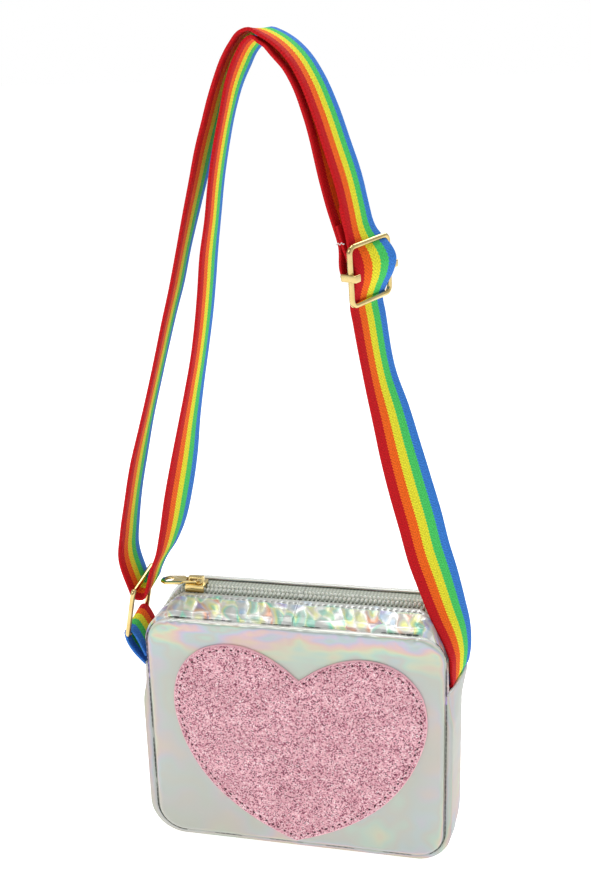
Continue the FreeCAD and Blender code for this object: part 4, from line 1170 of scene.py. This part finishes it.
def bulge():
    """The webbing where it rides over the adjuster's bar and under the frame's two end bars, its far edge
    more."""
    stations = []
    for along, out, twist in BULGE:
        turn = math.radians(twist)
        width = RUN_ACROSS * math.cos(turn) + RUN_OUT * math.sin(turn)
        stations.append((by_adjuster(out * MM, along * MM)[0], width))
    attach(webbing_piece("strap_bulge", stations), "adjuster")


def bar_tack():
    """White stitches that hold the folded end, seen on the webbing's front edge."""
    shape = bmesh.new()
    for step in range(5):
        spot = by_adjuster(BAR_OUT - 2.1 * MM + step * MM, (13.6 + 0.5 * (step % 2)) * MM)[0]
        centre = spot - RUN_ACROSS * (WEBBING_WIDTH / 2 - 0.1 * MM)
        bead(shape, centre, RUN_OUT, -RUN_ACROSS, TACK_SIZES)
    piece_from(shape, "bar_tack", WHITE_THREAD, body="adjuster")


def tab():
    """The loop that holds the ring, with its stripes the other way round. Its end lies flat between the
    gusset's strips and bends up beside the bag."""
    sewn = Vector((1 * MM - PANEL_HALF, 0.0, JOINT_HEIGHT))
    bend = Vector((TONGUE_BEND - SIDE_FOOT, 0.0, JOINT_HEIGHT + TONGUE_BEND))
    tongue = [sewn] + round_bar(bend, TONGUE_BEND, (270, 240, 210))
    bar = ring_place(0)
    lean = math.degrees(math.atan2(bar.z - JOINT_HEIGHT, bar.x + SIDE_FOOT))
    over = round_bar(bar, BEND_ROOM, [lean + turn for turn in (90, 60, 30, 0, -30, -60, -90)])
    heel = Vector((-SIDE_FOOT + WEBBING_WALL + FIT_GAP, 0.0, JOINT_HEIGHT + TAB_HEEL_LIFT))
    stations = upright(tongue) + upright(over, RING_ACROSS) + upright([heel])
    piece = webbing_piece("tab", stations, "ring_tab", flip=True)
    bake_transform(piece)


# Staging

CAMERA_PLACE = Vector((127.5, -551.6, 402.2)) * MM
CAMERA_TARGET = Vector((-0.9, 0.0, 215.0)) * MM
CAMERA_ROLL = math.radians(-1.69)
CAMERA_LENS = 49.8
LAMP_TARGET = Vector((0.0, 0.0, 0.15))
FLOOR_HALF = 12.0


def placed(name, data):
    """A new object in the scene."""
    made = bpy.data.objects.new(name, data)
    bpy.context.scene.collection.objects.link(made)
    return made


def add_camera():
    data = bpy.data.cameras.new("camera")
    data.lens = CAMERA_LENS
    data.clip_start = 0.01
    camera = placed("camera", data)
    turn = (CAMERA_TARGET - CAMERA_PLACE).normalized().to_track_quat("-Z", "Y").to_matrix().to_4x4()
    camera.matrix_world = Matrix.Translation(CAMERA_PLACE) @ turn @ Matrix.Rotation(CAMERA_ROLL, 4, "Z")
    bpy.context.scene.camera = camera


def add_light(name, place, size, power):
    data = bpy.data.lights.new(name, "AREA")
    data.size = size
    data.energy = power
    lamp = placed(name, data)
    lamp.location = place
    lamp.rotation_euler = (LAMP_TARGET - Vector(place)).to_track_quat("-Z", "Y").to_euler()


def lit_table():
    """White acrylic, lit from below as a shooting table is."""
    material = bpy.data.materials.new("white shooting table")
    material.use_nodes = True
    tree = material.node_tree
    feed(tree, tree.nodes["Principled BSDF"], {
        "Base Color": "#f7f7f6", "Roughness": 0.9, "Emission Color": "#ffffff", "Emission Strength": 0.62,
    })
    return material


def add_studio():
    shape = bmesh.new()
    bmesh.ops.create_grid(shape, x_segments=1, y_segments=1, size=FLOOR_HALF)
    mesh = bpy.data.meshes.new("floor")
    shape.to_mesh(mesh)
    shape.free()
    mesh.materials.append(lit_table())
    placed("floor", mesh)
    world = bpy.data.worlds.new("studio")
    world.use_nodes = True
    tree = world.node_tree
    sky = add(tree, "TexCoord", {}).outputs["Generated"]
    heading = add(tree, "SeparateXYZ", {"Vector": sky}).outputs
    tones = add(tree, "ValToRGB", {"Fac": heading["Z"]}, [
        (0.0, "#ffffff"), (0.04, "#ffffff"), (0.10, "#b8babc"), (0.45, "#d4d6d8"), (0.8, "#b4b6b8"),
        (1.0, "#8c8e90"),
    ])
    above = add(tree, "MapRange", {"Value": heading["Z"], "From Min": 0.06, "From Max": 0.14})
    ahead = add(tree, "MapRange", {"Value": heading["Y"], "From Min": -0.35, "From Max": -0.8})
    dim = add(tree, "Math", {0: above, 1: ahead}, operation="MULTIPLY")
    level = add(tree, "MapRange", {"Value": dim, "To Min": 1.0, "To Max": 0.45})
    shaded = add(tree, "VectorMath", {0: tones, "Scale": level}, operation="SCALE")
    feed(tree, tree.nodes["Background"], {"Color": shaded, "Strength": 1.0})
    bpy.context.scene.world = world
    bpy.context.scene.view_settings.view_transform = "Standard"
    add_light("key", (-0.7, -1.0, 1.1), 0.7, 4)
    add_light("fill", (1.1, -0.9, 0.7), 0.9, 1.5)
    add_light("back", (0.2, 0.9, 1.0), 0.6, 4)
    add_light("top", (-0.1, 0.1, 1.5), 0.8, 7)


add_camera()
panel("front_shell", "front_panel", -1)
panel("back_shell", "back_panel", 1)
side_band()
lining_band()
for side, word in SIDE_WORD.items():
    inner_sheet(f"lining_{word}_sheet", f"lining_{word}", LINING_DEPTH, LINING_INSET, LINING_WALL,
                LINING_CLOTH, side)
    padding = inner_sheet(f"{word}_padding", f"{word}_foam", FOAM_DEPTH, FOAM_INSET, FOAM_WALL, FOAM,
                          side)
    seam_thread_and_shadow(f"{word}_seam_thread_and_shadow", side)
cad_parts["base_board"].data.materials.clear()
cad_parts["base_board"].data.materials.append(BOARD)
for side in SIDE_WORD:
    for half in HALF_WORD:
        strip(side, half)
        tape(side, half)
        coil(side, half)
        strip_stitches(side, half)
heart()
heart_stitches()
outer_strand()
inner_strand()
bulge()
bar_tack()
tab()
hardware()
add_studio()
